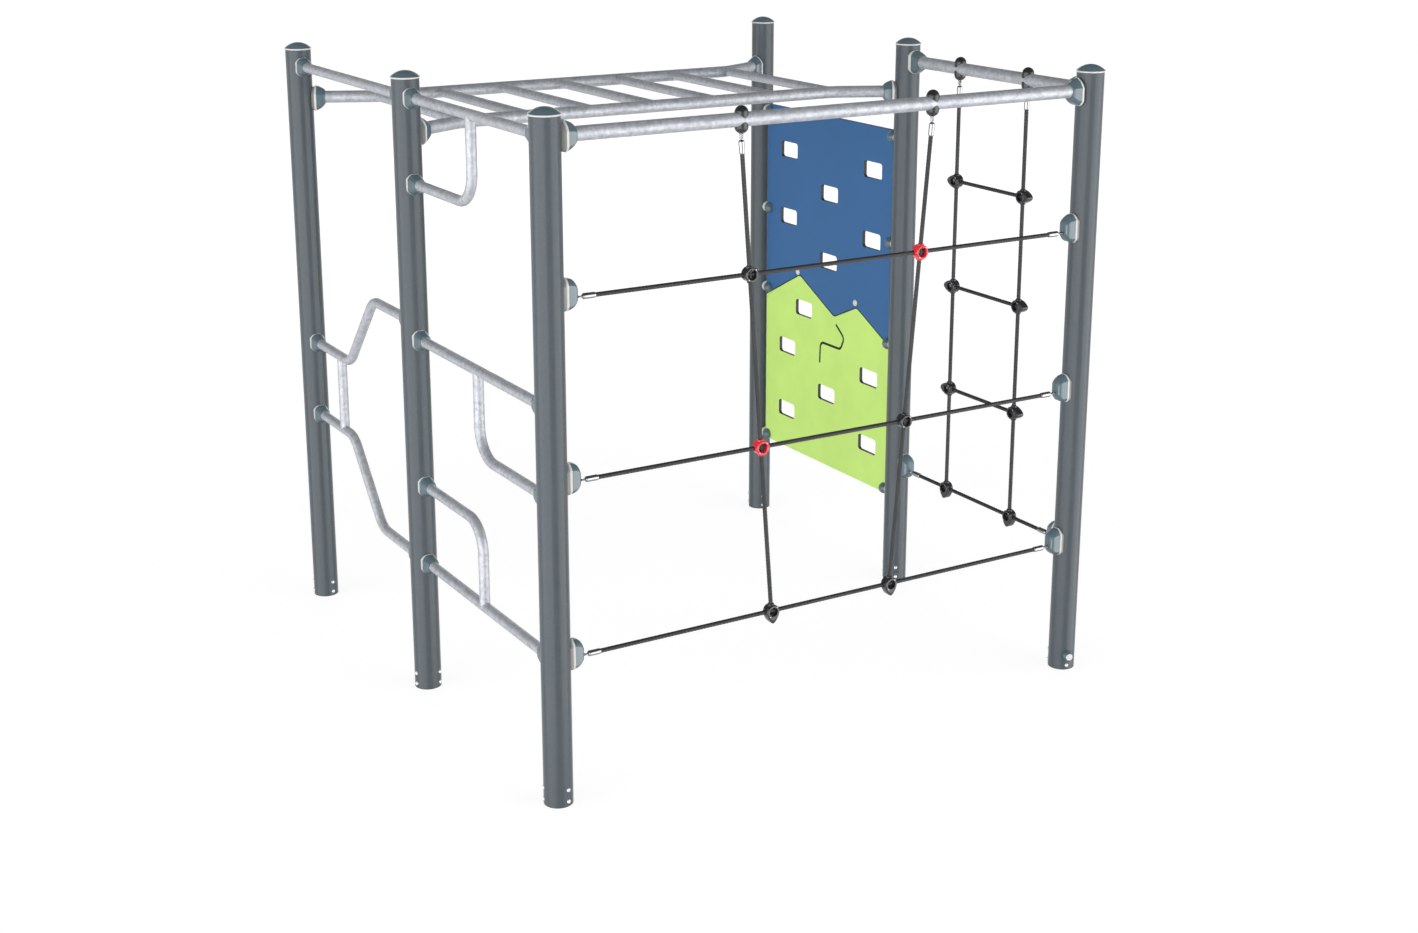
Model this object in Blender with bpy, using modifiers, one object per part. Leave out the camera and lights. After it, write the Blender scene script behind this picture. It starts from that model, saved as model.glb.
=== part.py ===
"""Playground climber: six posts on a square plan, joined by a horizontal ladder, bars, panels and rope nets.

Metres, +Z up. The origin is on the ground, at the centre of the plan. -Y is the front, with the wide net,
and +X is the side with the two coloured panels and the narrow net.
"""

import math

import bmesh
import bpy
from mathutils import Matrix, Vector

# Plan and heights
BAY = 1.108                      # spacing of the posts along a side, and half of the plan
RAIL_HEIGHT = 2.267
LADDER_HEIGHT = 2.140
MIDDLE_BAR_HEIGHT = 1.383
LOW_BAR_HEIGHT = 0.514
BAR_PITCH = 0.3075               # from a bar to its hook, and between the cranked bars' heights
ROPE_HEIGHTS = (1.744, 1.129, 0.514)

# Fits
CLEARANCE = 0.0003               # play between pieces that touch
WELD = 0.00001                   # distance under which loose points are one

# Posts and caps
POST_RADIUS = 0.0508
POST_WALL = 0.0026
POST_ABOVE_RAIL = 0.0645         # from the rails' axes up to the end of a post
POST_SIDES = 32
CAP_RING_RADIUS = 0.0535
CAP_RING_HEIGHT = 0.006
CAP_DOME_RADIUS = 0.0515
CAP_DOME_HEIGHT = 0.0225
CAP_SPIGOT_LENGTH = 0.025
CAP_SIDES = 16

# Tubes: rails and ladder sides are thick, bars and rungs are thin
THICK_RADIUS = 0.02415
THICK_WALL = 0.0029
THIN_RADIUS = 0.0190
THIN_WALL = 0.0026
TUBE_SIDES = 12
TUBE_END = 0.0588                # from a post's axis to the end of a tube that it carries
BORE_OVERRUN = 0.001             # how far a bore's cutter runs past the tube's end

# Horizontal ladder
LADDER_INSET = 0.137             # from the posts' line to the straight part of a side tube
LADDER_BEND = 0.180
RUNG_PITCH = 0.277
RUNGS_EACH_WAY = 3               # rungs on either side of the middle one
LADDER_BEND_STEPS = 2

# Bent bars on the left side
HOOK_BEND = 0.110
HOOK_OFFSET = 0.002              # from the middle of a bay to a hook's upright
HOOK_BEND_STEPS = 5
CRANK_BEND = 0.105
CRANK_BEND_STEPS = 3
CRANK_NEAR = 0.4015              # from the middle post to the near corner of a cranked bar
CRANK_FAR = 0.6785               # from the middle post to its far corner
STRUT_DISTANCE = 0.778           # from the middle post to the strut between the cranked bars

# Brackets: sections as reach from the post's axis, half width, half height, corner cut across and down
BRACKET_BACK = 0.040
SOCKET_FLOOR = TUBE_END - CLEARANCE
RAIL_BRACKET = (
    (BRACKET_BACK, 0.038, 0.050, 0.016, 0.022),
    (0.0657, 0.038, 0.050, 0.016, 0.022),
    (0.084, 0.034, 0.041, 0.014, 0.018),
    (0.100, 0.028, 0.028, 0.010, 0.012),
)
SIDE_BRACKET = (
    (BRACKET_BACK, 0.030, 0.047, 0.016, 0.018),
    (0.0600, 0.030, 0.047, 0.016, 0.018),
    (0.084, 0.0292, 0.040, 0.014, 0.016),
    (0.100, 0.028, 0.028, 0.010, 0.012),
)
ROPE_BRACKET = (
    (BRACKET_BACK, 0.030, 0.0535, 0.016, 0.018),
    (0.0620, 0.030, 0.0535, 0.016, 0.018),
    (0.083, 0.0262, 0.0445, 0.012, 0.016),
    (0.100, 0.018, 0.023, 0.007, 0.009),
)
BAR_BRACKET = (
    (BRACKET_BACK, 0.029, 0.037, 0.014, 0.015),
    (0.0605, 0.029, 0.037, 0.014, 0.015),
    (0.082, 0.0255, 0.030, 0.012, 0.013),
    (0.097, 0.0215, 0.0225, 0.008, 0.008),
)

# Ropes
ROPE_RADIUS = 0.008
ROPE_SIDES = 8
ROPE_DROP = 0.015                # a rope leaves its bracket this far below the bracket's middle
FERRULE_RADIUS = 0.0103
FERRULE_LENGTH = 0.047
FERRULE_START = 0.121            # from a post's axis to a ferrule's outer end
LINK_RADIUS = 0.003
LINK_SIDES = 6
LINK_END = 0.0850                # from a post's axis to the end of a link, inside its bracket
NET_FOOT = 0.2565                # from the middle of the front net to a slanted rope, at the lowest rope
NET_SLANT = 0.0799               # how far a slanted rope moves out for each metre up
SIDE_NET_HALF = 0.206            # from the middle of the side net to an upright rope
SIDE_NET_HEIGHTS = (1.816, 1.382, 0.948)

# Rope connectors
RING_RADIUS = 0.0258
RING_BORE = 0.017
RING_DEPTH = 0.035
RING_SIDES = 12
EAR_REACH = 0.0335               # from a ring's axis to the centre of its ear's tip
EAR_TIP = 0.0105
EAR_TIP_STEPS = 3

# Hangers on the rails: a capsule round the rail, held by a bolt through it
HANGER_RADIUS = 0.0235
HANGER_TOP = 0.047               # above and below the rail's axis
HANGER_SIDES = 10
HANGER_RINGS = 2
HANGER_BOLT = 0.005
BOLT_SIDES = 8
HANGER_FERRULE_DROP = 0.068      # from the rail's axis down to the ferrule's top

# Panels
PANEL_THICKNESS = 0.016
PANEL_MARGIN = 0.065             # from a post's axis to a panel's edge
PANEL_TOP = 1.969
PANEL_BOTTOM = 0.369
PANEL_CORNER = 0.020
SEAM = 0.005
SEAM_BEND = 0.060
SEAM_STEPS = 3
SEAM_REAR_END = 1.073
SEAM_FRONT_END = 1.029
SEAM_POINTS = ((0.7655, 1.215), (0.4868, 1.077), (0.315, 1.153))
HOLE_WIDTH = 0.131
HOLE_HEIGHT = 0.071
HOLE_CORNER = 0.013
HOLE_STEPS = 3
HOLE_COLUMNS = (0.216, 0.539, 0.863)
HOLE_PITCH = 0.1533              # from one row of holes to the next
UPPER_HOLE_TOP = 1.779
UPPER_HOLE_ROWS = 4
LOWER_HOLE_TOP = 0.8592
LOWER_HOLE_ROWS = 3
EXTRA_HOLE = (0.729, 1.065)      # between the rows, under the seam's rear peak

# Panel clips
CLIP_RADIUS = 0.025
CLIP_DISTANCE = 0.072            # from a post's axis to a clip's middle
CLIP_SIDES = 10
CLIP_RINGS = 2
UPPER_CLIPS = (("rear_right", 1.942), ("rear_right", 1.488), ("rear_right", 1.109),
               ("middle_right", 1.942), ("middle_right", 1.488))
LOWER_CLIPS = (("rear_right", 0.391), ("middle_right", 1.031), ("middle_right", 0.391))

POSTS = {
    "front_left": (-BAY, -BAY),
    "middle_left": (-BAY, 0.0),
    "rear_left": (-BAY, BAY),
    "rear_right": (BAY, BAY),
    "middle_right": (BAY, 0.0),
    "front_right": (BAY, -BAY),
}

# Values that follow from the sizes above
POST_HEIGHT = RAIL_HEIGHT + POST_ABOVE_RAIL
LADDER_CORNER = RUNG_PITCH * RUNGS_EACH_WAY
LEG_ANGLE = math.atan2(LADDER_INSET, BAY - LADDER_CORNER)
HOOK_PLACE = -BAY / 2 + HOOK_OFFSET
UPPER_HOOK = RAIL_HEIGHT - BAR_PITCH
MIDDLE_HOOK = MIDDLE_BAR_HEIGHT - BAR_PITCH
LOW_HOOK = LOW_BAR_HEIGHT + BAR_PITCH
LOWER_CRANK = (LOW_BAR_HEIGHT, LOW_BAR_HEIGHT + BAR_PITCH)
UPPER_CRANK = (LOW_BAR_HEIGHT + 3 * BAR_PITCH, LOW_BAR_HEIGHT + 2 * BAR_PITCH)
PANEL_FRONT = PANEL_MARGIN
PANEL_REAR = BAY - PANEL_MARGIN

# Colours as linear red, green, blue, with roughness and metallic
FINISHES = {
    "powder_coated_steel": ((0.105, 0.131, 0.151), 0.45, 0.2),
    "blue_grey_plastic": ((0.112, 0.182, 0.208), 0.40, 0.0),
    "galvanised_steel": ((0.485, 0.507, 0.552), 0.45, 0.8),
    "black_rope": ((0.028, 0.030, 0.033), 0.75, 0.0),
    "red_plastic": ((0.680, 0.020, 0.030), 0.35, 0.0),
    "blue_panel": ((0.050, 0.138, 0.328), 0.50, 0.0),
    "green_panel": ((0.515, 0.838, 0.188), 0.50, 0.0),
}


def clear_scene():
    """Start from an empty scene."""
    for old in list(bpy.data.objects):
        bpy.data.objects.remove(old, do_unlink=True)


def new_collection(name):
    """Make a collection in the scene."""
    collection = bpy.data.collections.new(name)
    bpy.context.scene.collection.children.link(collection)
    return collection


def finish(name):
    """Return the material of a finish, made once."""
    material = bpy.data.materials.get(name)
    if material is None:
        colour, roughness, metallic = FINISHES[name]
        material = bpy.data.materials.new(name)
        material.use_nodes = True
        shader = material.node_tree.nodes["Principled BSDF"]
        shader.inputs["Base Color"].default_value = (*colour, 1.0)
        shader.inputs["Roughness"].default_value = roughness
        shader.inputs["Metallic"].default_value = metallic
        material.diffuse_color = (*colour, 1.0)
    return material


def mesh_object(name, mesh_builder, collection, finish_name=None):
    """Link an object from a bmesh, shaded smooth up to 35 degrees."""
    mesh_builder.normal_update()
    mesh = bpy.data.meshes.new(name)
    mesh_builder.to_mesh(mesh)
    mesh_builder.free()
    mesh.shade_smooth()
    mesh.set_sharp_from_angle(angle=math.radians(35))
    obj = bpy.data.objects.new(name, mesh)
    collection.objects.link(obj)
    if finish_name:
        mesh.materials.append(finish(finish_name))
    return obj


def evaluated_mesh(obj):
    """Return the object's mesh with its modifiers applied and loose points welded."""
    bpy.context.view_layer.update()
    mesh = bpy.data.meshes.new_from_object(obj.evaluated_get(bpy.context.evaluated_depsgraph_get()))
    builder = bmesh.new()
    builder.from_mesh(mesh)
    bmesh.ops.remove_doubles(builder, verts=builder.verts, dist=WELD)
    bmesh.ops.recalc_face_normals(builder, faces=builder.faces)
    builder.to_mesh(mesh)
    builder.free()
    return mesh


def solid_from_curve(name, curve, collection):
    """Turn a curve with a bevel or a fill into a closed mesh object."""
    guide = bpy.data.objects.new(name + "_curve", curve)
    collection.objects.link(guide)
    mesh = evaluated_mesh(guide)
    bpy.data.objects.remove(guide, do_unlink=True)
    obj = bpy.data.objects.new(name, mesh)
    collection.objects.link(obj)
    return obj


def as_cutter(obj):
    """Mark an object as a cutter that isn't part of the model."""
    obj.hide_render = True
    obj.display_type = "WIRE"
    return obj


def cut(obj, cutter):
    """Take a cutter's shape out of an object."""
    modifier = obj.modifiers.new(cutter.name, "BOOLEAN")
    modifier.operation = "DIFFERENCE"
    modifier.solver = "EXACT"
    modifier.object = cutter


def fuse(name, shapes, collection, finish_name=None):
    """Join shapes that overlap into one object, as by welding or moulding."""
    first = shapes[0]
    for shape in shapes[1:]:
        modifier = first.modifiers.new(shape.name, "BOOLEAN")
        modifier.operation = "UNION"
        modifier.solver = "EXACT"
        modifier.object = shape
    mesh = evaluated_mesh(first)
    for shape in shapes:
        bpy.data.objects.remove(shape, do_unlink=True)
    mesh.shade_smooth()
    mesh.set_sharp_from_angle(angle=math.radians(35))
    mesh.materials.clear()
    obj = bpy.data.objects.new(name, mesh)
    collection.objects.link(obj)
    if finish_name:
        mesh.materials.append(finish(finish_name))
    return obj


def direction(angle):
    """Return the level unit vector at an angle from +X."""
    return Vector((math.cos(angle), math.sin(angle), 0.0))


def rod(name, points, radius, collection, sides=TUBE_SIDES):
    """Round bar of a radius along a route, with flat ends."""
    curve = bpy.data.curves.new(name, "CURVE")
    curve.dimensions = "3D"
    curve.bevel_depth = radius
    curve.bevel_resolution = (sides - 4) // 2
    curve.use_fill_caps = True
    spline = curve.splines.new("POLY")
    spline.points.add(len(points) - 1)
    for point, place in zip(spline.points, points):
        point.co = (*place, 1.0)
    return solid_from_curve(name, curve, collection)


def bent(corners, radius, steps):
    """Return a route through corners, each rounded to a bend of the given radius."""
    corners = [Vector(corner) for corner in corners]
    route = [corners[0]]
    for before, corner, after in zip(corners, corners[1:], corners[2:]):
        back = (before - corner).normalized()
        ahead = (after - corner).normalized()
        half = back.angle(ahead) / 2
        middle = corner + (back + ahead).normalized() * radius / math.sin(half)
        start = corner + back * radius / math.tan(half) - middle
        axis = back.cross(ahead)
        sweep = math.pi - 2 * half
        for step in range(steps + 1):
            route.append(middle + Matrix.Rotation(-sweep * step / steps, 3, axis) @ start)
    return route + [corners[-1]]


def overrun(route):
    """Return a route that is a little longer at both ends."""
    places = [Vector(place) for place in route]
    before = (places[0] - places[1]).normalized() * BORE_OVERRUN
    after = (places[-1] - places[-2]).normalized() * BORE_OVERRUN
    return [places[0] + before, *places[1:-1], places[-1] + after]


def tube(name, routes, radius, wall, collection, cutters, finish_name="galvanised_steel", thin=()):
    """Hollow tubes along routes, welded together; the thin routes take the bars' own size."""
    runs = [(route, radius, wall) for route in routes] + [(route, THIN_RADIUS, THIN_WALL) for route in thin]
    outer = [rod(f"{name}_{i}", route, size, collection) for i, (route, size, _) in enumerate(runs)]
    inner = [rod(f"{name}_bore_{i}", overrun(route), size - shell, cutters)
             for i, (route, size, shell) in enumerate(runs)]
    body = fuse(name, outer, collection, finish_name)
    cut(body, as_cutter(fuse(f"{name}_bore", inner, cutters)))
    return body


def turned(name, profile, sides, collection, finish_name=None, closed=False):
    """Turn a profile of radius and height about the Z axis."""
    mesh = bpy.data.meshes.new(name)
    points = [(radius, 0.0, height) for radius, height in profile]
    edges = [(i, i + 1) for i in range(len(points) - 1)]
    if closed:
        edges.append((len(points) - 1, 0))
    mesh.from_pydata(points, edges, [])
    if finish_name:
        mesh.materials.append(finish(finish_name))
    obj = bpy.data.objects.new(name, mesh)
    collection.objects.link(obj)
    screw = obj.modifiers.new("Turn", "SCREW")
    screw.steps = sides
    screw.render_steps = sides
    screw.use_merge_vertices = True
    screw.merge_threshold = WELD
    screw.use_smooth_shade = True
    return obj


def cylinder(name, start, end, radius, sides, collection):
    """Cylinder between two points."""
    start, end = Vector(start), Vector(end)
    axis = end - start
    turn = axis.to_track_quat("Z", "Y").to_matrix().to_4x4()
    builder = bmesh.new()
    bmesh.ops.create_cone(builder, cap_ends=True, segments=sides, radius1=radius, radius2=radius,
                          depth=axis.length, matrix=Matrix.Translation((start + end) / 2) @ turn)
    return mesh_object(name, builder, collection)


def capsule(name, centre, axis, radius, half_length, sides, rings, collection):
    """Cylinder with round ends about a centre; the half length reaches to the tip."""
    builder = bmesh.new()
    bmesh.ops.create_uvsphere(builder, u_segments=sides, v_segments=2 * rings + 1, radius=radius)
    stretch = half_length - radius
    for vertex in builder.verts:
        vertex.co.z += math.copysign(stretch, vertex.co.z)
    turn = Vector(axis).to_track_quat("Z", "Y").to_matrix().to_4x4()
    bmesh.ops.transform(builder, matrix=Matrix.Translation(centre) @ turn, verts=builder.verts)
    return mesh_object(name, builder, collection)


def plate(name, outline, thickness, centre, collection, normal="X"):
    """Upright flat plate facing along X or Y, from an outline given across and up."""
    curve = bpy.data.curves.new(name, "CURVE")
    curve.dimensions = "2D"
    curve.fill_mode = "BOTH"
    curve.extrude = thickness / 2
    spline = curve.splines.new("POLY")
    spline.points.add(len(outline) - 1)
    spline.use_cyclic_u = True
    for point, (across, up) in zip(spline.points, outline):
        point.co = (across, up, 0.0, 1.0)
    obj = solid_from_curve(name, curve, collection)
    if normal == "X":
        upright = Matrix(((0, 0, 1, 0), (1, 0, 0, 0), (0, 1, 0, 0), (0, 0, 0, 1)))
    else:
        upright = Matrix(((1, 0, 0, 0), (0, 0, -1, 0), (0, 1, 0, 0), (0, 0, 0, 1)))
    obj.data.transform(Matrix.Translation(centre) @ upright)
    return obj


def arc(centre, radius, start, end, steps):
    """Return the points of an arc in a plane."""
    angles = [start + (end - start) * step / steps for step in range(steps + 1)]
    return [(centre[0] + radius * math.cos(a), centre[1] + radius * math.sin(a)) for a in angles]


def rounded_box(centre, width, height, corner, steps):
    """Return the outline of a rectangle with round corners."""
    outline = []
    for quarter, (across, up) in enumerate(((1, 1), (-1, 1), (-1, -1), (1, -1))):
        middle = (centre[0] + across * (width / 2 - corner), centre[1] + up * (height / 2 - corner))
        start = quarter * math.pi / 2
        outline += arc(middle, corner, start, start + math.pi / 2, steps)
    return outline


def rounded_line(points, radius, steps):
    """Return a line in a plane with its inner corners rounded."""
    return [(p.x, p.y) for p in bent([(across, up, 0.0) for across, up in points], radius, steps)]


def make_post(where, collection):
    """Steel tube that stands on the ground, open at both ends."""
    inner = POST_RADIUS - POST_WALL
    profile = ((POST_RADIUS, POST_HEIGHT), (POST_RADIUS, 0.0), (inner, 0.0), (inner, POST_HEIGHT))
    post = turned(f"post_{where}", profile, POST_SIDES, collection, "powder_coated_steel", closed=True)
    post.location = (*POSTS[where], 0.0)


def make_cap(where, collection):
    """Domed cap with a ring on the post's end and a spigot in its bore."""
    base = POST_HEIGHT + CLEARANCE
    shoulder = base + CAP_RING_HEIGHT
    spigot = POST_RADIUS - POST_WALL - 3 * CLEARANCE
    dome = [(CAP_DOME_RADIUS * math.sin(a), shoulder + CAP_DOME_HEIGHT * math.cos(a))
            for a in (0.0, math.radians(35), math.radians(65), math.radians(90))]
    profile = dome + [(CAP_RING_RADIUS, shoulder), (CAP_RING_RADIUS, base), (spigot, base),
                      (spigot, base - CAP_SPIGOT_LENGTH), (0.0, base - CAP_SPIGOT_LENGTH)]
    cap = turned(f"cap_{where}", profile, CAP_SIDES, collection, "blue_grey_plastic")
    cap.location = (*POSTS[where], 0.0)


def on_post(where, angle, reach, height):
    """Return the point at a reach from a post's axis in a direction, at a height."""
    return Vector((*POSTS[where], height)) + direction(angle) * reach


def make_ladder(collection, cutters):
    """Two side tubes, bent towards each other at their ends, with rungs welded between them."""
    sides = []
    for row, line, turn in (("middle", 0.0, 1), ("rear", BAY, -1)):
        inner = line + turn * LADDER_INSET
        corners = [
            on_post(row + "_left", turn * LEG_ANGLE, TUBE_END, LADDER_HEIGHT),
            (-LADDER_CORNER, inner, LADDER_HEIGHT),
            (LADDER_CORNER, inner, LADDER_HEIGHT),
            on_post(row + "_right", math.pi - turn * LEG_ANGLE, TUBE_END, LADDER_HEIGHT),
        ]
        sides.append(bent(corners, LADDER_BEND, LADDER_BEND_STEPS))
    places = [RUNG_PITCH * i for i in range(-RUNGS_EACH_WAY, RUNGS_EACH_WAY + 1)]
    rungs = [[(x, LADDER_INSET, LADDER_HEIGHT), (x, BAY - LADDER_INSET, LADDER_HEIGHT)] for x in places]
    tube("monkey_ladder", sides, THICK_RADIUS, THICK_WALL, collection, cutters, thin=rungs)


def left_route(*places):
    """Return corners in the left side's plane from distances along Y and heights."""
    return [(-BAY, along, height) for along, height in places]


def make_rails(collection, cutters):
    """Straight top rails of the front and of the right side, each drilled for its two hangers."""
    ends = BAY - TUBE_END
    front = tube("front_rail", [[(-ends, -BAY, RAIL_HEIGHT), (ends, -BAY, RAIL_HEIGHT)]],
                 THICK_RADIUS, THICK_WALL, collection, cutters)
    side = tube("side_rail", [[(BAY, -ends, RAIL_HEIGHT), (BAY, -TUBE_END, RAIL_HEIGHT)]],
                THICK_RADIUS, THICK_WALL, collection, cutters)
    for rail, places in ((front, front_hangers()), (side, side_hangers())):
        for i, place in enumerate(places):
            reach = Vector((0.0, 0.0, 2 * THICK_RADIUS))
            drill = cylinder(f"{rail.name}_drill_{i}", place - reach, place + reach, HANGER_BOLT + CLEARANCE,
                             BOLT_SIDES, cutters)
            cut(rail, as_cutter(drill))


def make_left_bars(collection, cutters):
    """Bars of the left side: three with a hook, a straight one and the cranked pair with its strut."""
    front, back = -BAY + TUBE_END, -TUBE_END
    hooked_bars = {
        "top_bar": (RAIL_HEIGHT, back, UPPER_HOOK),
        "middle_bar": (MIDDLE_BAR_HEIGHT, front, MIDDLE_HOOK),
        "low_bar": (LOW_BAR_HEIGHT, back, LOW_HOOK),
    }
    for name, (height, end, hook_height) in hooked_bars.items():
        bar = left_route((front, height), (back, height))
        hook = left_route((end, hook_height), (HOOK_PLACE, hook_height), (HOOK_PLACE, height))
        routes = [bar, bent(hook, HOOK_BEND, HOOK_BEND_STEPS)]
        tube(name, routes, THIN_RADIUS, THIN_WALL, collection, cutters)
    near, far = TUBE_END, BAY - TUBE_END
    tube("rear_top_bar", [left_route((near, RAIL_HEIGHT), (far, RAIL_HEIGHT))], THIN_RADIUS, THIN_WALL,
         collection, cutters)
    cranked = [bent(left_route((far, at_far), (CRANK_FAR, at_far), (CRANK_NEAR, at_near), (near, at_near)),
                    CRANK_BEND, CRANK_BEND_STEPS) for at_near, at_far in (UPPER_CRANK, LOWER_CRANK)]
    strut = left_route((STRUT_DISTANCE, LOWER_CRANK[1]), (STRUT_DISTANCE, UPPER_CRANK[1]))
    tube("cranked_bars", [*cranked, strut], THIN_RADIUS, THIN_WALL, collection, cutters)


def front_hangers():
    """Return where the front net's hangers sit on the rail's axis, left and right."""
    reach = slanted_rope(RAIL_HEIGHT - HANGER_FERRULE_DROP)
    return [Vector((side * reach, -BAY, RAIL_HEIGHT)) for side in (-1, 1)]


def side_hangers():
    """Return where the side net's hangers sit on the rail's axis, rear and front."""
    return [Vector((BAY, -BAY / 2 + side * SIDE_NET_HALF, RAIL_HEIGHT)) for side in (1, -1)]


def slanted_rope(height):
    """Return the distance from the front net's middle to a slanted rope at a height."""
    return NET_FOOT + NET_SLANT * (height - ROPE_HEIGHTS[2])


def make_bracket(name, where, angle, height, sections, socket, collection, cutters):
    """Eight-sided cover that seats on a post and holds the end of a tube or of a rope's link."""
    builder = bmesh.new()
    rings = []
    for reach, wide, tall, across, down in sections:
        corners = [(wide, tall - down), (wide - across, tall), (across - wide, tall), (-wide, tall - down),
                   (-wide, down - tall), (across - wide, -tall), (wide - across, -tall), (wide, down - tall)]
        rings.append([builder.verts.new((reach, side, up)) for side, up in corners])
    for low, high in zip(rings, rings[1:]):
        for i in range(8):
            builder.faces.new((low[i - 1], low[i], high[i], high[i - 1]))
    builder.faces.new(rings[0])
    builder.faces.new(rings[-1])
    bmesh.ops.recalc_face_normals(builder, faces=builder.faces)
    bracket = mesh_object(f"bracket_{name}", builder, collection, "blue_grey_plastic")
    bracket.location = (*POSTS[where], height)
    bracket.rotation_euler.z = angle
    cut(bracket, bpy.data.objects[f"seat_{where}"])
    radius, floor, drop, sides = socket
    start = on_post(where, angle, floor, height - drop)
    end = start + direction(angle) * sections[-1][0]
    cut(bracket, as_cutter(rod(f"socket_{name}", [start, end], radius + CLEARANCE, cutters, sides)))


def make_brackets(collection, cutters):
    """Brackets for the rails and the ladder, for the ropes and for the bars."""
    right, rear, left, front = 0.0, math.pi / 2, math.pi, -math.pi / 2
    thick = (THICK_RADIUS, SOCKET_FLOOR, 0.0, TUBE_SIDES)
    thin = (THIN_RADIUS, SOCKET_FLOOR, 0.0, TUBE_SIDES)
    link = (LINK_RADIUS, LINK_END - CLEARANCE, ROPE_DROP, LINK_SIDES)
    for name, where, angle, height in (
        ("side_rail_front", "front_right", rear, RAIL_HEIGHT),
        ("side_rail_rear", "middle_right", front, RAIL_HEIGHT),
    ):
        make_bracket(name, where, angle, height, SIDE_BRACKET, thick, collection, cutters)
    for name, where, angle, height in (
        ("front_rail_left", "front_left", right, RAIL_HEIGHT),
        ("front_rail_right", "front_right", left, RAIL_HEIGHT),
        ("ladder_middle_left", "middle_left", LEG_ANGLE, LADDER_HEIGHT),
        ("ladder_middle_right", "middle_right", left - LEG_ANGLE, LADDER_HEIGHT),
        ("ladder_rear_left", "rear_left", -LEG_ANGLE, LADDER_HEIGHT),
        ("ladder_rear_right", "rear_right", left + LEG_ANGLE, LADDER_HEIGHT),
    ):
        make_bracket(name, where, angle, height, RAIL_BRACKET, thick, collection, cutters)
    ropes = [("side_rope_front", "front_right", rear, ROPE_HEIGHTS[-1]),
             ("side_rope_rear", "middle_right", front, ROPE_HEIGHTS[-1])]
    for level, height in zip(("upper", "middle", "lower"), ROPE_HEIGHTS):
        ropes += [(f"{level}_rope_left", "front_left", right, height),
                  (f"{level}_rope_right", "front_right", left, height)]
    for name, where, angle, height in ropes:
        make_bracket(name, where, angle, height + ROPE_DROP, ROPE_BRACKET, link, collection, cutters)
    for name, where, angle, height in (
        ("top_bar_front", "front_left", rear, RAIL_HEIGHT),
        ("top_bar_rear", "middle_left", front, RAIL_HEIGHT),
        ("top_bar_hook", "middle_left", front, UPPER_HOOK),
        ("middle_bar_front", "front_left", rear, MIDDLE_BAR_HEIGHT),
        ("middle_bar_rear", "middle_left", front, MIDDLE_BAR_HEIGHT),
        ("middle_bar_hook", "front_left", rear, MIDDLE_HOOK),
        ("low_bar_front", "front_left", rear, LOW_BAR_HEIGHT),
        ("low_bar_rear", "middle_left", front, LOW_BAR_HEIGHT),
        ("low_bar_hook", "middle_left", front, LOW_HOOK),
        ("rear_top_bar_front", "middle_left", rear, RAIL_HEIGHT),
        ("rear_top_bar_rear", "rear_left", front, RAIL_HEIGHT),
        ("upper_crank_front", "middle_left", rear, UPPER_CRANK[0]),
        ("upper_crank_rear", "rear_left", front, UPPER_CRANK[1]),
        ("lower_crank_front", "middle_left", rear, LOWER_CRANK[0]),
        ("lower_crank_rear", "rear_left", front, LOWER_CRANK[1]),
    ):
        make_bracket(name, where, angle, height, BAR_BRACKET, thin, collection, cutters)


def drop_outline(towards):
    """Return a ring's outline with an ear that narrows to a round tip."""
    spread = math.acos((RING_RADIUS - EAR_TIP) / EAR_REACH)
    tip = (EAR_REACH * math.cos(towards), EAR_REACH * math.sin(towards))
    steps = round(RING_SIDES * (1 - spread / math.pi))
    return (arc((0.0, 0.0), RING_RADIUS, towards + spread, towards + 2 * math.pi - spread, steps)
            + arc(tip, EAR_TIP, towards - spread, towards + spread, EAR_TIP_STEPS))


def make_ring(name, centre, normal, collection, cutters, towards=None):
    """Open ring round a crossing of ropes, with an ear on the side that no rope leaves."""
    if towards is None:
        outline = arc((0.0, 0.0), RING_RADIUS, 0.0, 2 * math.pi, RING_SIDES)[:-1]
    else:
        outline = drop_outline(towards)
    ring = plate(name, outline, RING_DEPTH, centre, collection, normal)
    reach = Vector((RING_DEPTH, 0.0, 0.0) if normal == "X" else (0.0, RING_DEPTH, 0.0))
    cut(ring, as_cutter(rod(name + "_bore", [centre - reach, centre + reach], RING_BORE, cutters)))
    return ring


def make_hanger(name, rail_point, clearance, collection):
    """Two round halves above and below a rail, on a bolt through it, with the link that a rope hangs on."""
    halves = capsule(name, rail_point, (0.0, 0.0, 1.0), HANGER_RADIUS, HANGER_TOP, HANGER_SIDES,
                     HANGER_RINGS, collection)
    cut(halves, clearance)
    up = Vector((0.0, 0.0, 1.0))
    seat = up * (HANGER_TOP + THICK_RADIUS) / 2
    bolt = cylinder(name + "_bolt", rail_point - seat, rail_point + seat, HANGER_BOLT, BOLT_SIDES,
                    collection)
    foot = rail_point - up * (HANGER_FERRULE_DROP + FERRULE_LENGTH / 4)
    link = rod(name + "_link", [rail_point - seat, foot], LINK_RADIUS, collection, LINK_SIDES)
    return [halves, bolt, link]


def rope_end(name, post_point, along, collection):
    """Ferrule on a rope's end with the link that goes into the bracket."""
    ferrule = rod(name + "_ferrule", [post_point + along * FERRULE_START,
                                      post_point + along * (FERRULE_START + FERRULE_LENGTH)],
                  FERRULE_RADIUS, collection, ROPE_SIDES)
    link = rod(name + "_link", [post_point + along * LINK_END,
                                post_point + along * (FERRULE_START + FERRULE_LENGTH / 4)],
               LINK_RADIUS, collection, LINK_SIDES)
    return [ferrule, link]


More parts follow.
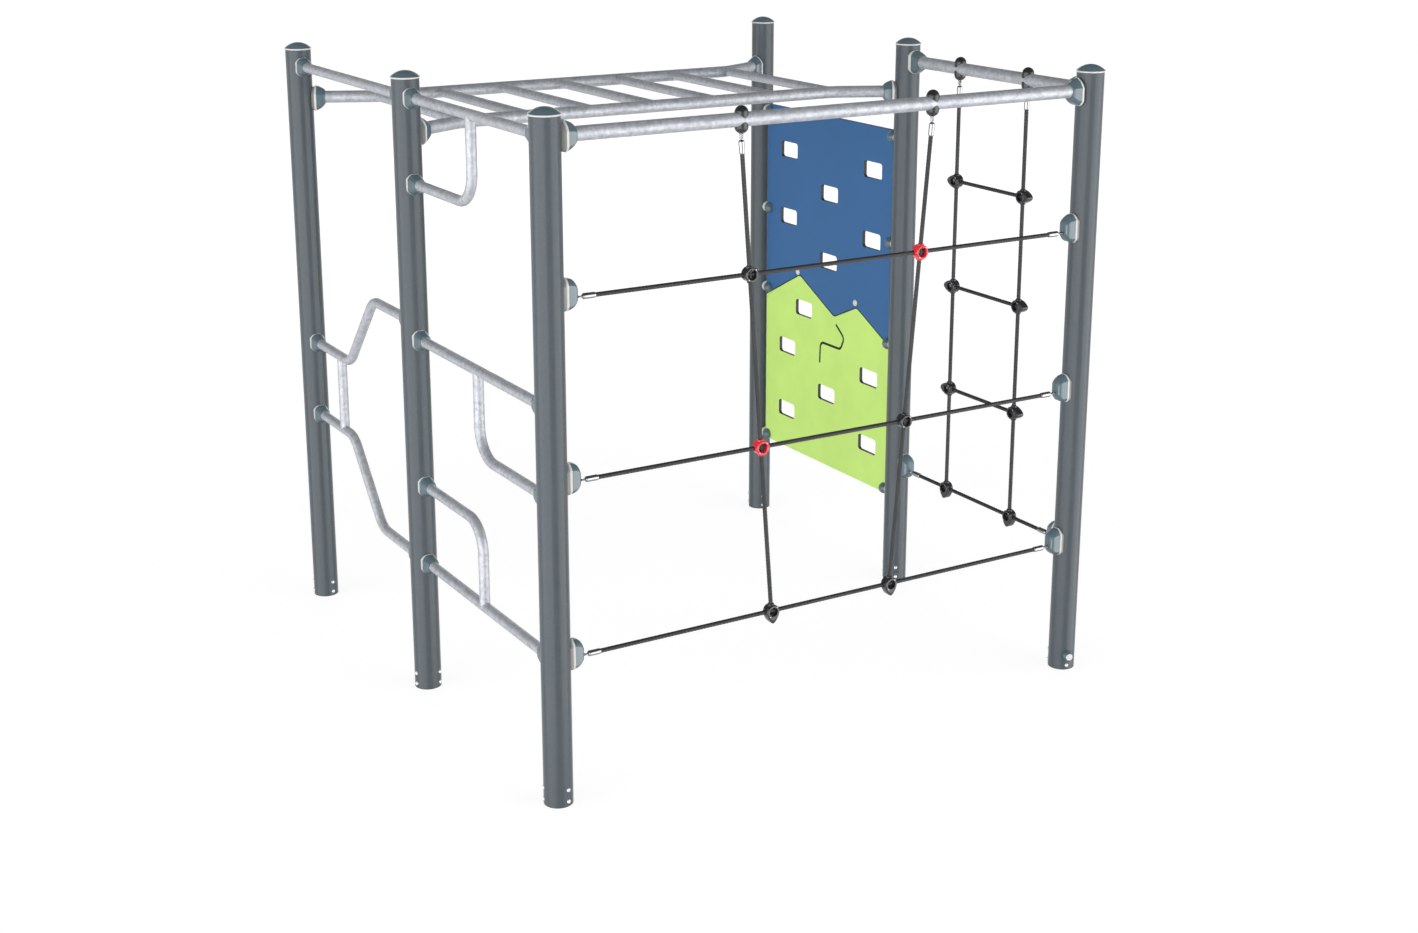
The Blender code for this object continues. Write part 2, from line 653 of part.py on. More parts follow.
def level_rope(name, start, end, collection):
    """Rope between two posts with a ferrule and a link at each end."""
    along = (end - start).normalized()
    inset = along * (FERRULE_START + FERRULE_LENGTH / 2)
    rope = rod(name, [start + inset, end - inset], ROPE_RADIUS, collection, ROPE_SIDES)
    return [rope, *rope_end(name + "_start", start, along, collection),
            *rope_end(name + "_end", end, -along, collection)]


def hanging_rope(name, top, bottom, collection):
    """Rope from under a hanger down to the lowest rope, with a ferrule at its top."""
    along = (bottom - top).normalized()
    rope = rod(name, [top + along * FERRULE_LENGTH / 2, bottom], ROPE_RADIUS, collection, ROPE_SIDES)
    sleeve = [top, top + along * FERRULE_LENGTH]
    return [rope, rod(name + "_ferrule", sleeve, FERRULE_RADIUS, collection, ROPE_SIDES)]


def make_front_net(collection, cutters):
    """Three level ropes crossed by two slanted ones, with an open ring at each upper crossing."""
    drop = Vector((0.0, 0.0, HANGER_FERRULE_DROP))
    clearance = bpy.data.objects["front_rail_clearance"]
    shapes = []
    for level, height in enumerate(ROPE_HEIGHTS):
        start, end = Vector((-BAY, -BAY, height)), Vector((BAY, -BAY, height))
        shapes += level_rope(f"level_{level}", start, end, collection)
    for side, place in zip((-1, 1), front_hangers()):
        foot = Vector((side * slanted_rope(ROPE_HEIGHTS[-1]), -BAY, ROPE_HEIGHTS[-1]))
        shapes += hanging_rope(f"slanted_{side}", place - drop, foot, collection)
        shapes += make_hanger(f"hanger_{side}", place, clearance, collection)
        shapes.append(make_ring(f"front_foot_{side}", foot, "Y", collection, cutters, -math.pi / 2))
    fuse("front_net", shapes, collection, "black_rope")
    for level, height in zip(("upper", "middle"), ROPE_HEIGHTS):
        slot = rod(f"{level}_level_slot", [(-BAY / 2, -BAY, height), (BAY / 2, -BAY, height)],
                   ROPE_RADIUS + CLEARANCE, cutters, ROPE_SIDES)
        for side, word in ((-1, "left"), (1, "right")):
            centre = Vector((side * slanted_rope(height), -BAY, height))
            connector = make_ring(f"rope_ring_{level}_{word}", centre, "Y", collection, cutters)
            red = (level == "upper") == (word == "right")
            connector.data.materials.append(finish("red_plastic" if red else "black_rope"))
            top = front_hangers()[0 if side < 0 else 1] - drop
            foot = Vector((side * slanted_rope(ROPE_HEIGHTS[-1]), -BAY, ROPE_HEIGHTS[-1]))
            slanted = rod(f"{level}_{word}_slot", [top, foot], ROPE_RADIUS + CLEARANCE, cutters, ROPE_SIDES)
            cut(connector, as_cutter(slanted))
            cut(connector, slot)
        as_cutter(slot)


def make_side_net(collection, cutters):
    """Two upright ropes with three short rungs and a level rope at the foot, with a ring at each joint."""
    drop = Vector((0.0, 0.0, HANGER_FERRULE_DROP))
    clearance = bpy.data.objects["side_rail_clearance"]
    low = ROPE_HEIGHTS[-1]
    shapes = level_rope("level", Vector((BAY, -BAY, low)), Vector((BAY, 0.0, low)), collection)
    rear, front = side_hangers()
    for word, place, outward in (("rear", rear, 0.0), ("front", front, math.pi)):
        foot = Vector((BAY, place.y, low))
        shapes += hanging_rope(word, place - drop, foot, collection)
        shapes += make_hanger(f"hanger_{word}", place, clearance, collection)
        shapes.append(make_ring(f"side_foot_{word}", foot, "X", collection, cutters, -math.pi / 2))
        for i, height in enumerate(SIDE_NET_HEIGHTS):
            centre = Vector((BAY, place.y, height))
            shapes.append(make_ring(f"side_ring_{word}_{i}", centre, "X", collection, cutters, outward))
    for i, height in enumerate(SIDE_NET_HEIGHTS):
        ends = [(BAY, front.y, height), (BAY, rear.y, height)]
        shapes.append(rod(f"rung_{i}", ends, ROPE_RADIUS, collection, ROPE_SIDES))
    fuse("side_net", shapes, collection, "black_rope")


def make_clip(name, where, height, facing, collection):
    """Round clip that grips a panel's edge on both faces and seats on the post."""
    centre = on_post(where, facing, CLIP_DISTANCE, height)
    return capsule(name, centre, (1.0, 0.0, 0.0), CLIP_RADIUS, CLIP_RADIUS + PANEL_THICKNESS / 2, CLIP_SIDES,
                   CLIP_RINGS, collection)


def hole_places(top, rows):
    """Return the hole centres of rows that have two outer holes and one middle hole in turn."""
    outer, middle = HOLE_COLUMNS[::2], HOLE_COLUMNS[1:2]
    return [(along, top - row * HOLE_PITCH)
            for row in range(rows) for along in (middle if row % 2 else outer)]


def make_panels(collection, cutters):
    """Upper and lower panel with a bent seam between them, and clips on their edges."""
    seam = rounded_line([(PANEL_REAR, SEAM_REAR_END), *SEAM_POINTS, (PANEL_FRONT, SEAM_FRONT_END)],
                        SEAM_BEND, SEAM_STEPS)
    corner = PANEL_CORNER
    quarter = math.pi / 2
    top = (arc((PANEL_FRONT + corner, PANEL_TOP - corner), corner, 2 * quarter, quarter, HOLE_STEPS)
           + arc((PANEL_REAR - corner, PANEL_TOP - corner), corner, quarter, 0.0, HOLE_STEPS))
    low = PANEL_BOTTOM + corner
    bottom = (arc((PANEL_REAR - corner, low), corner, 0.0, -quarter, HOLE_STEPS)
              + arc((PANEL_FRONT + corner, low), corner, -quarter, -2 * quarter, HOLE_STEPS))
    upper = top + [(along, height + SEAM) for along, height in seam]
    lower = bottom + seam[::-1]
    upper_holes = hole_places(UPPER_HOLE_TOP, UPPER_HOLE_ROWS)
    lower_holes = [*hole_places(LOWER_HOLE_TOP, LOWER_HOLE_ROWS), EXTRA_HOLE]
    for name, outline, places, clips, finish_name in (
        ("blue_panel", upper, upper_holes, UPPER_CLIPS, "blue_panel"),
        ("green_panel", lower, lower_holes, LOWER_CLIPS, "green_panel"),
    ):
        shapes = [plate(name + "_sheet", outline, PANEL_THICKNESS, (BAY, 0.0, 0.0), collection)]
        for i, (where, height) in enumerate(clips):
            facing = -quarter if where == "rear_right" else quarter
            shapes.append(make_clip(f"{name}_clip_{i}", where, height, facing, collection))
        panel = fuse(name, shapes, collection, finish_name)
        punches = []
        for i, place in enumerate(places):
            edge = rounded_box(place, HOLE_WIDTH, HOLE_HEIGHT, HOLE_CORNER, HOLE_STEPS)
            punches.append(plate(f"{name}_hole_{i}", edge, 2 * PANEL_THICKNESS, (BAY, 0.0, 0.0), cutters))
        cut(panel, as_cutter(fuse(name + "_holes", punches, cutters)))
        cut(panel, bpy.data.objects["seat_rear_right"])
        cut(panel, bpy.data.objects["seat_middle_right"])
    where, height = LOWER_CLIPS[1]
    centre = on_post(where, quarter, CLIP_DISTANCE, height)
    room = capsule("clip_clearance", centre, (1.0, 0.0, 0.0), CLIP_RADIUS + CLEARANCE,
                   CLIP_RADIUS + PANEL_THICKNESS / 2 + CLEARANCE, CLIP_SIDES, CLIP_RINGS, cutters)
    cut(bpy.data.objects["blue_panel"], as_cutter(room))


def build():
    """Make every piece of the climber."""
    clear_scene()
    collection = new_collection("playground_climber")
    cutters = new_collection("cutters")
    for where, (x, y) in POSTS.items():
        make_post(where, collection)
        make_cap(where, collection)
        as_cutter(cylinder(f"seat_{where}", (x, y, -POST_RADIUS), (x, y, POST_HEIGHT + POST_RADIUS),
                           POST_RADIUS + CLEARANCE, POST_SIDES, cutters))
    for name, start, end in (("front_rail_clearance", (-BAY, -BAY, RAIL_HEIGHT), (BAY, -BAY, RAIL_HEIGHT)),
                             ("side_rail_clearance", (BAY, -BAY, RAIL_HEIGHT), (BAY, 0.0, RAIL_HEIGHT))):
        as_cutter(rod(name, [start, end], THICK_RADIUS + CLEARANCE, cutters))
    make_ladder(collection, cutters)
    make_rails(collection, cutters)
    make_left_bars(collection, cutters)
    make_brackets(collection, cutters)
    make_front_net(collection, cutters)
    make_side_net(collection, cutters)
    make_panels(collection, cutters)


build()
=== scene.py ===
"""Playground climber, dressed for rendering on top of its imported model.

Metres, +Z up. The origin is on the ground at the middle of the plan. -Y is the front, with the wide rope
net, and +X is the side with the two coloured panels and the narrow net.
"""

import math

import bmesh
import bpy
from bpy.props import FloatProperty, FloatVectorProperty, IntProperty, PointerProperty
from mathutils import Matrix, Vector


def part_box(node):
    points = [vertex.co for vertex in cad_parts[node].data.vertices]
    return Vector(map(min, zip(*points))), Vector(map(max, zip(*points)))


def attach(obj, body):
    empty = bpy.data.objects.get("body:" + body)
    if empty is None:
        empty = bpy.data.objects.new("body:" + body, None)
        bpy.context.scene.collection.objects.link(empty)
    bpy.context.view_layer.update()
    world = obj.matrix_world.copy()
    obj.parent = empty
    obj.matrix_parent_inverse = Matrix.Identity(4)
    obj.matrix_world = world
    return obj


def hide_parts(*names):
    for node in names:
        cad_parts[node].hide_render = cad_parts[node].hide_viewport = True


bl_info = {
    "name": "Playground Climber",
    "version": (1, 0, 0),
    "blender": (4, 5, 0),
    "location": "View3D > Sidebar > Climber",
    "description": "Posts, tubes, brackets, panels and rope nets of a playground climber",
    "category": "Object",
}

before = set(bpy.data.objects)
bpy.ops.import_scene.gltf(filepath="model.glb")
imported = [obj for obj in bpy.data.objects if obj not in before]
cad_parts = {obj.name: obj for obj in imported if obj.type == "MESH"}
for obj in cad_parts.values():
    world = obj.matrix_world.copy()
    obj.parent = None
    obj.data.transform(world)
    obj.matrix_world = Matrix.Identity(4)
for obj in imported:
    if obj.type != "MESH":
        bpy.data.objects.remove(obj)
POST_LOW, POST_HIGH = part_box("post_rear_right")

WELD = 0.00001                   # points closer than this are one
SMOOTH = math.radians(32)        # edges flatter than this are shaded smooth
STILL = Matrix.Identity(4)
QUARTER = math.pi / 2
FRONT = -math.pi / 2             # directions in plan, as angles from +X
REAR = math.pi / 2
LEFT = math.pi
RIGHT = 0.0

# Finishes that several pieces share
ZINC = "galvanised zinc"
STAINLESS = "stainless steel"
PLASTIC = "bracket plastic"
LIGHT_RIM = "light rim"
BLACK = "black moulding"
YARN = "rope yarn"
WHITE = "white button"
# Near-black: on the sheets' edges and holes, and as painted shade on the strip in the seam
DARK_EDGE_AND_SEAM_SHADE = "sheet core"


class ClimberSizes(bpy.types.PropertyGroup):
    """Sizes of the climber's main pieces."""

    bay: FloatProperty(
        name="Bay", description="Spacing of the posts along a side, and half of the plan",
        default=(POST_LOW.x + POST_HIGH.x) / 2, min=0.5, max=3.0, unit="LENGTH")
    post_radius: FloatProperty(
        name="Post radius", description="Outer radius of a post",
        default=(POST_HIGH.x - POST_LOW.x) / 2, min=0.02, max=0.1, unit="LENGTH")
    post_height: FloatProperty(
        name="Post height", description="Height of a post without its cap",
        default=POST_HIGH.z, min=1.0, max=4.0, unit="LENGTH")
    rail_height: FloatProperty(
        name="Rail height", description="Height of the top rails' axes",
        default=2.267, min=1.0, max=4.0, unit="LENGTH")
    ladder_height: FloatProperty(
        name="Ladder height", description="Height of the horizontal ladder",
        default=2.140, min=1.0, max=4.0, unit="LENGTH")
    thick_radius: FloatProperty(
        name="Thick tube radius", description="Outer radius of the rails and of the ladder's sides",
        default=0.02415, min=0.01, max=0.05, unit="LENGTH")
    thin_radius: FloatProperty(
        name="Thin tube radius", description="Outer radius of the bars and of the ladder's rungs",
        default=0.0190, min=0.01, max=0.05, unit="LENGTH")
    bar_pitch: FloatProperty(
        name="Bar pitch", description="Height from a bar to its hook, and between the cranked bars' steps",
        default=0.3075, min=0.1, max=1.0, unit="LENGTH")
    low_rope: FloatProperty(
        name="Low rope", description="Height of the lowest ropes",
        default=0.514, min=0.1, max=1.0, unit="LENGTH")
    rope_pitch: FloatProperty(
        name="Rope pitch", description="Height from one level rope of the wide net to the next",
        default=0.615, min=0.2, max=1.0, unit="LENGTH")
    rope_radius: FloatProperty(
        name="Rope radius", description="Outer radius of the rope",
        default=0.0080, min=0.003, max=0.02, unit="LENGTH")
    panel_thickness: FloatProperty(
        name="Panel thickness", description="Thickness of the panels",
        default=0.016, min=0.005, max=0.05, unit="LENGTH")
    rungs: IntProperty(
        name="Rungs", description="Number of rungs in the horizontal ladder", default=7, min=3, max=15)


class ClimberColours(bpy.types.PropertyGroup):
    """Colours of the climber's finishes, as linear values."""

    post: FloatVectorProperty(
        name="Posts", description="Powder coat of the posts", subtype="COLOR",
        default=(0.085, 0.102, 0.115), min=0.0, max=1.0)
    plastic: FloatVectorProperty(
        name="Brackets and caps", description="Blue-grey mouldings", subtype="COLOR",
        default=(0.100, 0.152, 0.178), min=0.0, max=1.0)
    zinc: FloatVectorProperty(
        name="Galvanised steel", description="Zinc coat of the tubes", subtype="COLOR",
        default=(0.475, 0.490, 0.525), min=0.0, max=1.0)
    rope: FloatVectorProperty(
        name="Rope", description="Yarn of the ropes", subtype="COLOR",
        default=(0.022, 0.023, 0.025), min=0.0, max=1.0)
    fitting: FloatVectorProperty(
        name="Black fittings", description="Rings and hangers of the nets", subtype="COLOR",
        default=(0.020, 0.021, 0.023), min=0.0, max=1.0)
    red: FloatVectorProperty(
        name="Red fittings", description="Two of the rings in the wide net", subtype="COLOR",
        default=(0.850, 0.035, 0.050), min=0.0, max=1.0)
    upper_panel: FloatVectorProperty(
        name="Upper panel", description="Blue sheet", subtype="COLOR",
        default=(0.046, 0.150, 0.350), min=0.0, max=1.0)
    lower_panel: FloatVectorProperty(
        name="Lower panel", description="Green sheet", subtype="COLOR",
        default=(0.660, 0.950, 0.235), min=0.0, max=1.0)
    rim: FloatVectorProperty(
        name="Light rims", description="Seals round the brackets and caps", subtype="COLOR",
        default=(0.740, 0.720, 0.690), min=0.0, max=1.0)


# Shader node groups and materials

def new_group(name, inputs, outputs):
    """Make an empty shader node group with named sockets and return its tree, inputs and outputs."""
    tree = bpy.data.node_groups.new(name, "ShaderNodeTree")
    for label, kind, value in inputs:
        socket = tree.interface.new_socket(label, in_out="INPUT", socket_type=kind)
        if value is not None:
            socket.default_value = value
    for label, kind in outputs:
        tree.interface.new_socket(label, in_out="OUTPUT", socket_type=kind)
    return tree, tree.nodes.new("NodeGroupInput"), tree.nodes.new("NodeGroupOutput")


def node(tree, kind, values=(), **settings):
    """Add a node with its settings, and link or set its inputs by name or place."""
    made = tree.nodes.new(kind)
    for key, value in settings.items():
        setattr(made, key, value)
    for key, value in dict(values).items():
        if isinstance(value, bpy.types.NodeSocket):
            tree.links.new(value, made.inputs[key])
        else:
            made.inputs[key].default_value = value
    return made


VECTOR, COLOUR, NUMBER = "NodeSocketVector", "NodeSocketColor", "NodeSocketFloat"
EFFECT_RESULTS = (("Colour", COLOUR), ("Roughness", NUMBER), ("Height", NUMBER))


def noise(tree, place, scale, detail):
    """Add a Noise Texture node."""
    return node(tree, "ShaderNodeTexNoise", {"Vector": place, "Scale": scale, "Detail": detail})


def calculate(tree, operation, first, second):
    """Add a Math node and return its result."""
    return node(tree, "ShaderNodeMath", {0: first, 1: second}, operation=operation).outputs[0]


def mapped(tree, value, low, high, new_low, new_high, **settings):
    """Add a Map Range node and return its result."""
    values = {0: value, 1: low, 2: high, 3: new_low, 4: new_high}
    return node(tree, "ShaderNodeMapRange", values, **settings).outputs[0]


def scaled_colour(tree, colour, gain):
    """Return a colour made lighter or darker by a gain."""
    return node(tree, "ShaderNodeVectorMath", {0: colour, "Scale": gain}, operation="SCALE").outputs[0]


def zinc_spangle_group():
    """Soft crystal patches of a hot-dip zinc coat."""
    tree, given, result = new_group(
        "Zinc spangle",
        [("Vector", VECTOR, None), ("Colour", COLOUR, (0.6, 0.6, 0.6, 1.0)),
         ("Patch Size", NUMBER, 55.0), ("Contrast", NUMBER, 0.3)], EFFECT_RESULTS)
    place = given.outputs["Vector"]
    bend = noise(tree, place, 40.0, 2.0)
    moved = node(tree, "ShaderNodeMix", {0: 0.02, 4: place, 5: bend.outputs["Color"]}, data_type="VECTOR")
    cells = node(tree, "ShaderNodeTexVoronoi",
                 {"Vector": moved.outputs[1], "Scale": given.outputs["Patch Size"], "Randomness": 1.0,
                  "Smoothness": 0.35}, feature="SMOOTH_F1")
    tone = node(tree, "ShaderNodeSeparateColor", {0: cells.outputs["Color"]})
    cloud = noise(tree, place, 75.0, 4.0).outputs["Fac"]
    both = calculate(tree, "ADD", tone.outputs[0], calculate(tree, "MULTIPLY", cloud, 2.5))
    swing = mapped(tree, both, 0.95, 2.55, -1.0, 1.0)
    gain = calculate(tree, "ADD", calculate(tree, "MULTIPLY", swing, given.outputs["Contrast"]), 1.0)
    tree.links.new(scaled_colour(tree, given.outputs["Colour"], gain), result.inputs["Colour"])
    tree.links.new(mapped(tree, tone.outputs[1], 0.0, 1.0, 0.50, 0.60), result.inputs["Roughness"])
    tree.links.new(cloud, result.inputs["Height"])
    return tree


def fine_grain_group():
    """Fine grain of a powder coat, a moulding or a sheet, with a slow drift in tone."""
    tree, given, result = new_group(
        "Fine grain",
        [("Vector", VECTOR, None), ("Colour", COLOUR, (0.5, 0.5, 0.5, 1.0)), ("Grain Size", NUMBER, 900.0),
         ("Drift", NUMBER, 0.06), ("Speckle", NUMBER, 0.05), ("Roughness", NUMBER, 0.5)], EFFECT_RESULTS)
    place = given.outputs["Vector"]
    slow = noise(tree, place, 6.0, 3.0).outputs["Fac"]
    fine = noise(tree, place, given.outputs["Grain Size"], 2.0).outputs["Fac"]
    parts = [calculate(tree, "MULTIPLY", mapped(tree, pattern, 0.3, 0.7, -1.0, 1.0), given.outputs[name])
             for pattern, name in ((slow, "Drift"), (fine, "Speckle"))]
    both = calculate(tree, "ADD", *parts)
    gain = calculate(tree, "ADD", both, 1.0)
    tree.links.new(scaled_colour(tree, given.outputs["Colour"], gain), result.inputs["Colour"])
    tree.links.new(calculate(tree, "ADD", both, given.outputs["Roughness"]), result.inputs["Roughness"])
    tree.links.new(fine, result.inputs["Height"])
    return tree


def make_material(name, group, colour, values, bump, depth, own_values):
    """Principled material that takes its colour, roughness and bump height from a node group."""
    material = bpy.data.materials.new(name)
    material.use_nodes = True
    tree = material.node_tree
    shader = tree.nodes["Principled BSDF"]
    place = tree.nodes.new("ShaderNodeTexCoord")
    effect = node(tree, "ShaderNodeGroup", node_tree=group)
    tree.links.new(place.outputs["Object"], effect.inputs["Vector"])
    effect.inputs["Colour"].default_value = (*colour, 1.0)
    for key, value in values.items():
        effect.inputs[key].default_value = value
    tree.links.new(effect.outputs["Colour"], shader.inputs["Base Color"])
    tree.links.new(effect.outputs["Roughness"], shader.inputs["Roughness"])
    if bump:
        relief = node(tree, "ShaderNodeBump",
                      {"Height": effect.outputs["Height"], "Strength": bump, "Distance": depth})
        tree.links.new(relief.outputs["Normal"], shader.inputs["Normal"])
    for key, value in own_values.items():
        shader.inputs[key].default_value = value
    material.diffuse_color = (*colour, 1.0)


def make_materials(colours):
    """Make every finish of the climber."""
    spangle = zinc_spangle_group()
    grain = fine_grain_group()
    make_material(ZINC, spangle, colours.zinc, {"Patch Size": 70.0, "Contrast": 0.19}, 0.20, 0.0005,
                  {"Metallic": 0.50})
    # Painted shade: the bracket feet take the light rim colour at 45 %, standing in for the shade on their
    # back-slanted sides
    foot = [0.45 * value for value in colours.rim]
    coat, flank, sheet = ({"Specular IOR Level": level} for level in (0.26, 0.7, 0.2))
    # name, colour, grain size, drift, speckle, roughness, bump and its depth, the shader's own values
    finishes = (
        ("post coat", colours.post, 700.0, 0.05, 0.10, 0.27, 0.15, 0.0003, coat),
        (PLASTIC, colours.plastic, 500.0, 0.05, 0.03, 0.30, 0.05, 0.0002, {}),
        ("polished flank", colours.plastic, 500.0, 0.05, 0.03, 0.18, 0.02, 0.0002, flank),
        (LIGHT_RIM, colours.rim, 400.0, 0.04, 0.03, 0.35, 0.0, 0.0, {}),
        ("rim foot painted shade", foot, 400.0, 0.04, 0.03, 0.50, 0.0, 0.0, {}),
        (YARN, colours.rope, 1400.0, 0.10, 0.40, 0.50, 0.8, 0.0005, {}),
        (BLACK, colours.fitting, 500.0, 0.05, 0.06, 0.22, 0.05, 0.0002, {}),
        ("red moulding", colours.red, 500.0, 0.03, 0.02, 0.24, 0.05, 0.0002, {}),
        (STAINLESS, (0.32, 0.32, 0.33), 300.0, 0.05, 0.05, 0.25, 0.05, 0.0002, {"Metallic": 1.0}),
        ("bolt steel", (0.86, 0.86, 0.87), 600.0, 0.04, 0.06, 0.34, 0.10, 0.0002, {"Metallic": 0.35}),
        ("blue sheet", colours.upper_panel, 650.0, 0.03, 0.08, 0.52, 0.25, 0.0004, sheet),
        ("green sheet", colours.lower_panel, 650.0, 0.03, 0.05, 0.52, 0.25, 0.0004, sheet),
        (WHITE, (0.78, 0.78, 0.76), 500.0, 0.03, 0.02, 0.35, 0.0, 0.0, {}),
        (DARK_EDGE_AND_SEAM_SHADE, (0.014, 0.017, 0.022), 500.0, 0.05, 0.10, 0.6, 0.0, 0.0, {}),
    )
    for name, colour, size, drift, speckle, roughness, bump, depth, own_values in finishes:
        values = {"Grain Size": size, "Drift": drift, "Speckle": speckle, "Roughness": roughness}
        make_material(name, grain, colour, values, bump, depth, own_values)


# Shapes, each made in its own bmesh

def start_ring(shape, place, along, radius, sides):
    """Start a tube with a circle of edges, and return its points and edges."""
    turn = Vector(along).to_track_quat("Z", "Y").to_matrix().to_4x4()
    points = bmesh.ops.create_circle(shape, cap_ends=False, segments=sides, radius=radius,
                                     matrix=Matrix.Translation(place) @ turn)["verts"]
    return points + list({edge for point in points for edge in point.link_edges})


def close_ring(shape, ring):
    """Close the open end of a tube."""
    bmesh.ops.edgeloop_fill(shape, edges=[item for item in ring if isinstance(item, bmesh.types.BMEdge)])


def pull(shape, ring, shift, steps=1, twist=0.0, about=(0.0, 0.0, 0.0)):
    """Pull the open end of a tube along a shift, with an optional twist about it."""
    made = bmesh.ops.spin(shape, geom=ring, cent=about, axis=Vector(shift).normalized(), angle=twist,
                          dvec=Vector(shift) / steps, steps=steps, use_merge=False)
    return made["geom_last"]


def finished(shape):
    """Merge doubles and turn the faces outwards."""
    bmesh.ops.remove_doubles(shape, verts=shape.verts, dist=WELD)
    bmesh.ops.recalc_face_normals(shape, faces=shape.faces)
    return shape


def swept_tube(corners, radius, sides, bend=0.0, bend_steps=8):
    """Round tube through corners, bent round each one."""
    shape = bmesh.new()
    corners = [Vector(corner) for corner in corners]
    ways = [(b - a).normalized() for a, b in zip(corners, corners[1:])]
    ring = start_ring(shape, corners[0], ways[0], radius, sides)
    close_ring(shape, ring)
    here = corners[0]
    for corner, before, after in zip(corners[1:], ways, ways[1:]):
        half = before.angle(after) / 2
        start = corner - before * bend * math.tan(half)
        ring = pull(shape, ring, start - here)
        axis = before.cross(after).normalized()
        ring = bmesh.ops.spin(shape, geom=ring, cent=start + axis.cross(before) * bend, axis=axis,
                              angle=2 * half, steps=bend_steps, use_merge=False)["geom_last"]
        here = corner + after * bend * math.tan(half)
    ring = pull(shape, ring, corners[-1] - here)
    close_ring(shape, ring)
    return finished(shape)


def turned(profile, sides, closed=False):
    """Solid turned about the Z axis from a profile of radius and height."""
    shape = bmesh.new()
    points = [shape.verts.new((radius, 0.0, height)) for radius, height in profile]
    edges = [shape.edges.new(pair) for pair in zip(points, points[1:])]
    if closed:
        edges.append(shape.edges.new((points[-1], points[0])))
    bmesh.ops.spin(shape, geom=points + edges, cent=(0, 0, 0), axis=(0, 0, 1), angle=2 * math.pi,
                   steps=sides, use_merge=True)
    return finished(shape)


ROUNDING_STEPS = 3


def rounded_profile(corners, radius):
    """Return a profile with each of its inner corners rounded."""
    places = [Vector((x, 0.0, z)) for x, z in corners]
    profile = [corners[0]]
    for before, corner, after in zip(places, places[1:], places[2:]):
        back, ahead = (before - corner).normalized(), (after - corner).normalized()
        reach = min(radius, (before - corner).length / 2, (after - corner).length / 2)
        for step in range(ROUNDING_STEPS + 1):
            share = step / ROUNDING_STEPS
            point = corner + back * reach * (1 - share) ** 2 + ahead * reach * share ** 2
            profile.append((point.x, point.z))
    return profile + [corners[-1]]


def dome_profile(radius, foot):
    """Return the flank of a dome as a profile, from its widest point at a height up to near its pole."""
    return [(radius * math.cos(math.radians(angle)), foot + radius * math.sin(math.radians(angle)))
            for angle in (0, 12, 24, 36, 48, 60, 72, 82)]


def mirrored_profile(upper):
    """Return a profile with its mirror image below it."""
    return [(radius, -height) for radius, height in upper[::-1]] + upper


def flat_outline(shape, half_width, half_height, corners, steps, place, profile=0.5):
    """Start a shape with an upright rounded rectangle that faces +X, and return its face.

    The two corner radii are those at the top and at the bottom.
    """
    points = bmesh.ops.create_grid(shape, x_segments=1, y_segments=1, size=1.0)["verts"]
    stand = Matrix(((0, 0, 1, 0), (1, 0, 0, 0), (0, 1, 0, 0), (0, 0, 0, 1)))
    size = Matrix.Diagonal((half_width, half_height, 1.0, 1.0))
    bmesh.ops.transform(shape, matrix=Matrix.Translation(place) @ stand @ size, verts=points)
    upper = [point for point in points if point.co.z > place[2]]
    lower = [point for point in points if point.co.z <= place[2]]
    for group, radius in ((upper, corners[0]), (lower, corners[1])):
        bmesh.ops.bevel(shape, geom=group, offset=radius, offset_type="OFFSET", segments=steps,
                        profile=profile, affect="VERTICES", material=-1)
    shape.faces.ensure_lookup_table()
    return shape.faces[-1:]


def pulled_face(shape, faces, shift):
    """Extrude faces along a shift and return the new end faces and their points."""
    made = bmesh.ops.extrude_face_region(shape, geom=faces)["geom"]
    points = [item for item in made if isinstance(item, bmesh.types.BMVert)]
    bmesh.ops.translate(shape, vec=shift, verts=points)
    return [item for item in made if isinstance(item, bmesh.types.BMFace)], points


def look_along(place, along, up="Y"):
    """Return the matrix that puts a shape's Z axis along a direction at a place."""
    return Matrix.Translation(place) @ Vector(along).to_track_quat("Z", up).to_matrix().to_4x4()


def as_object(shape):
    """Link a shape as a helper object."""
    mesh = bpy.data.meshes.new("helper")
    shape.to_mesh(mesh)
    helper = bpy.data.objects.new("helper", mesh)
    bpy.context.scene.collection.objects.link(helper)
    return helper


def combined(shape, *steps):
    """Return a shape after exact Booleans, each given as an operation and another shape."""
    body = as_object(shape)
    others = []
    for operation, other in steps:
        others.append(as_object(other))
        modifier = body.modifiers.new("step", "BOOLEAN")
        modifier.operation = operation
        modifier.solver = "EXACT"
        modifier.object = others[-1]
    bpy.context.view_layer.update()
    evaluated = body.evaluated_get(bpy.context.evaluated_depsgraph_get())
    result = bmesh.new()
    result.from_mesh(bpy.data.meshes.new_from_object(evaluated))
    for helper in (body, *others):
        bpy.data.objects.remove(helper, do_unlink=True)
    return finished(result)


def join(name, shapes, stands_for=(), smooth=SMOOTH):
    """Make one object from shapes, each a bmesh with its matrix and the names of its finishes."""
    whole = bmesh.new()
    mesh = bpy.data.meshes.new(name)
    for shape, matrix, finish in shapes:
        names = finish if isinstance(finish, (list, tuple)) else [finish]
        for each in names:
            if each not in mesh.materials:
                mesh.materials.append(bpy.data.materials[each])
        order = [list(mesh.materials.keys()).index(each) for each in names]
        part = bpy.data.meshes.new("part")
        shape.to_mesh(part)
        part.transform(matrix)
        known = len(whole.faces)
        whole.from_mesh(part)
        bpy.data.meshes.remove(part)
        whole.faces.ensure_lookup_table()
        for face in whole.faces[known:]:
            face.material_index = order[min(face.material_index, len(order) - 1)]
    whole.to_mesh(mesh)
    whole.free()
    mesh.shade_smooth()
    mesh.set_sharp_from_angle(angle=smooth)
    piece = bpy.data.objects.new(name, mesh)
    bpy.context.scene.collection.objects.link(piece)
    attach(piece, "root")
    if stands_for:
        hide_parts(*stands_for)


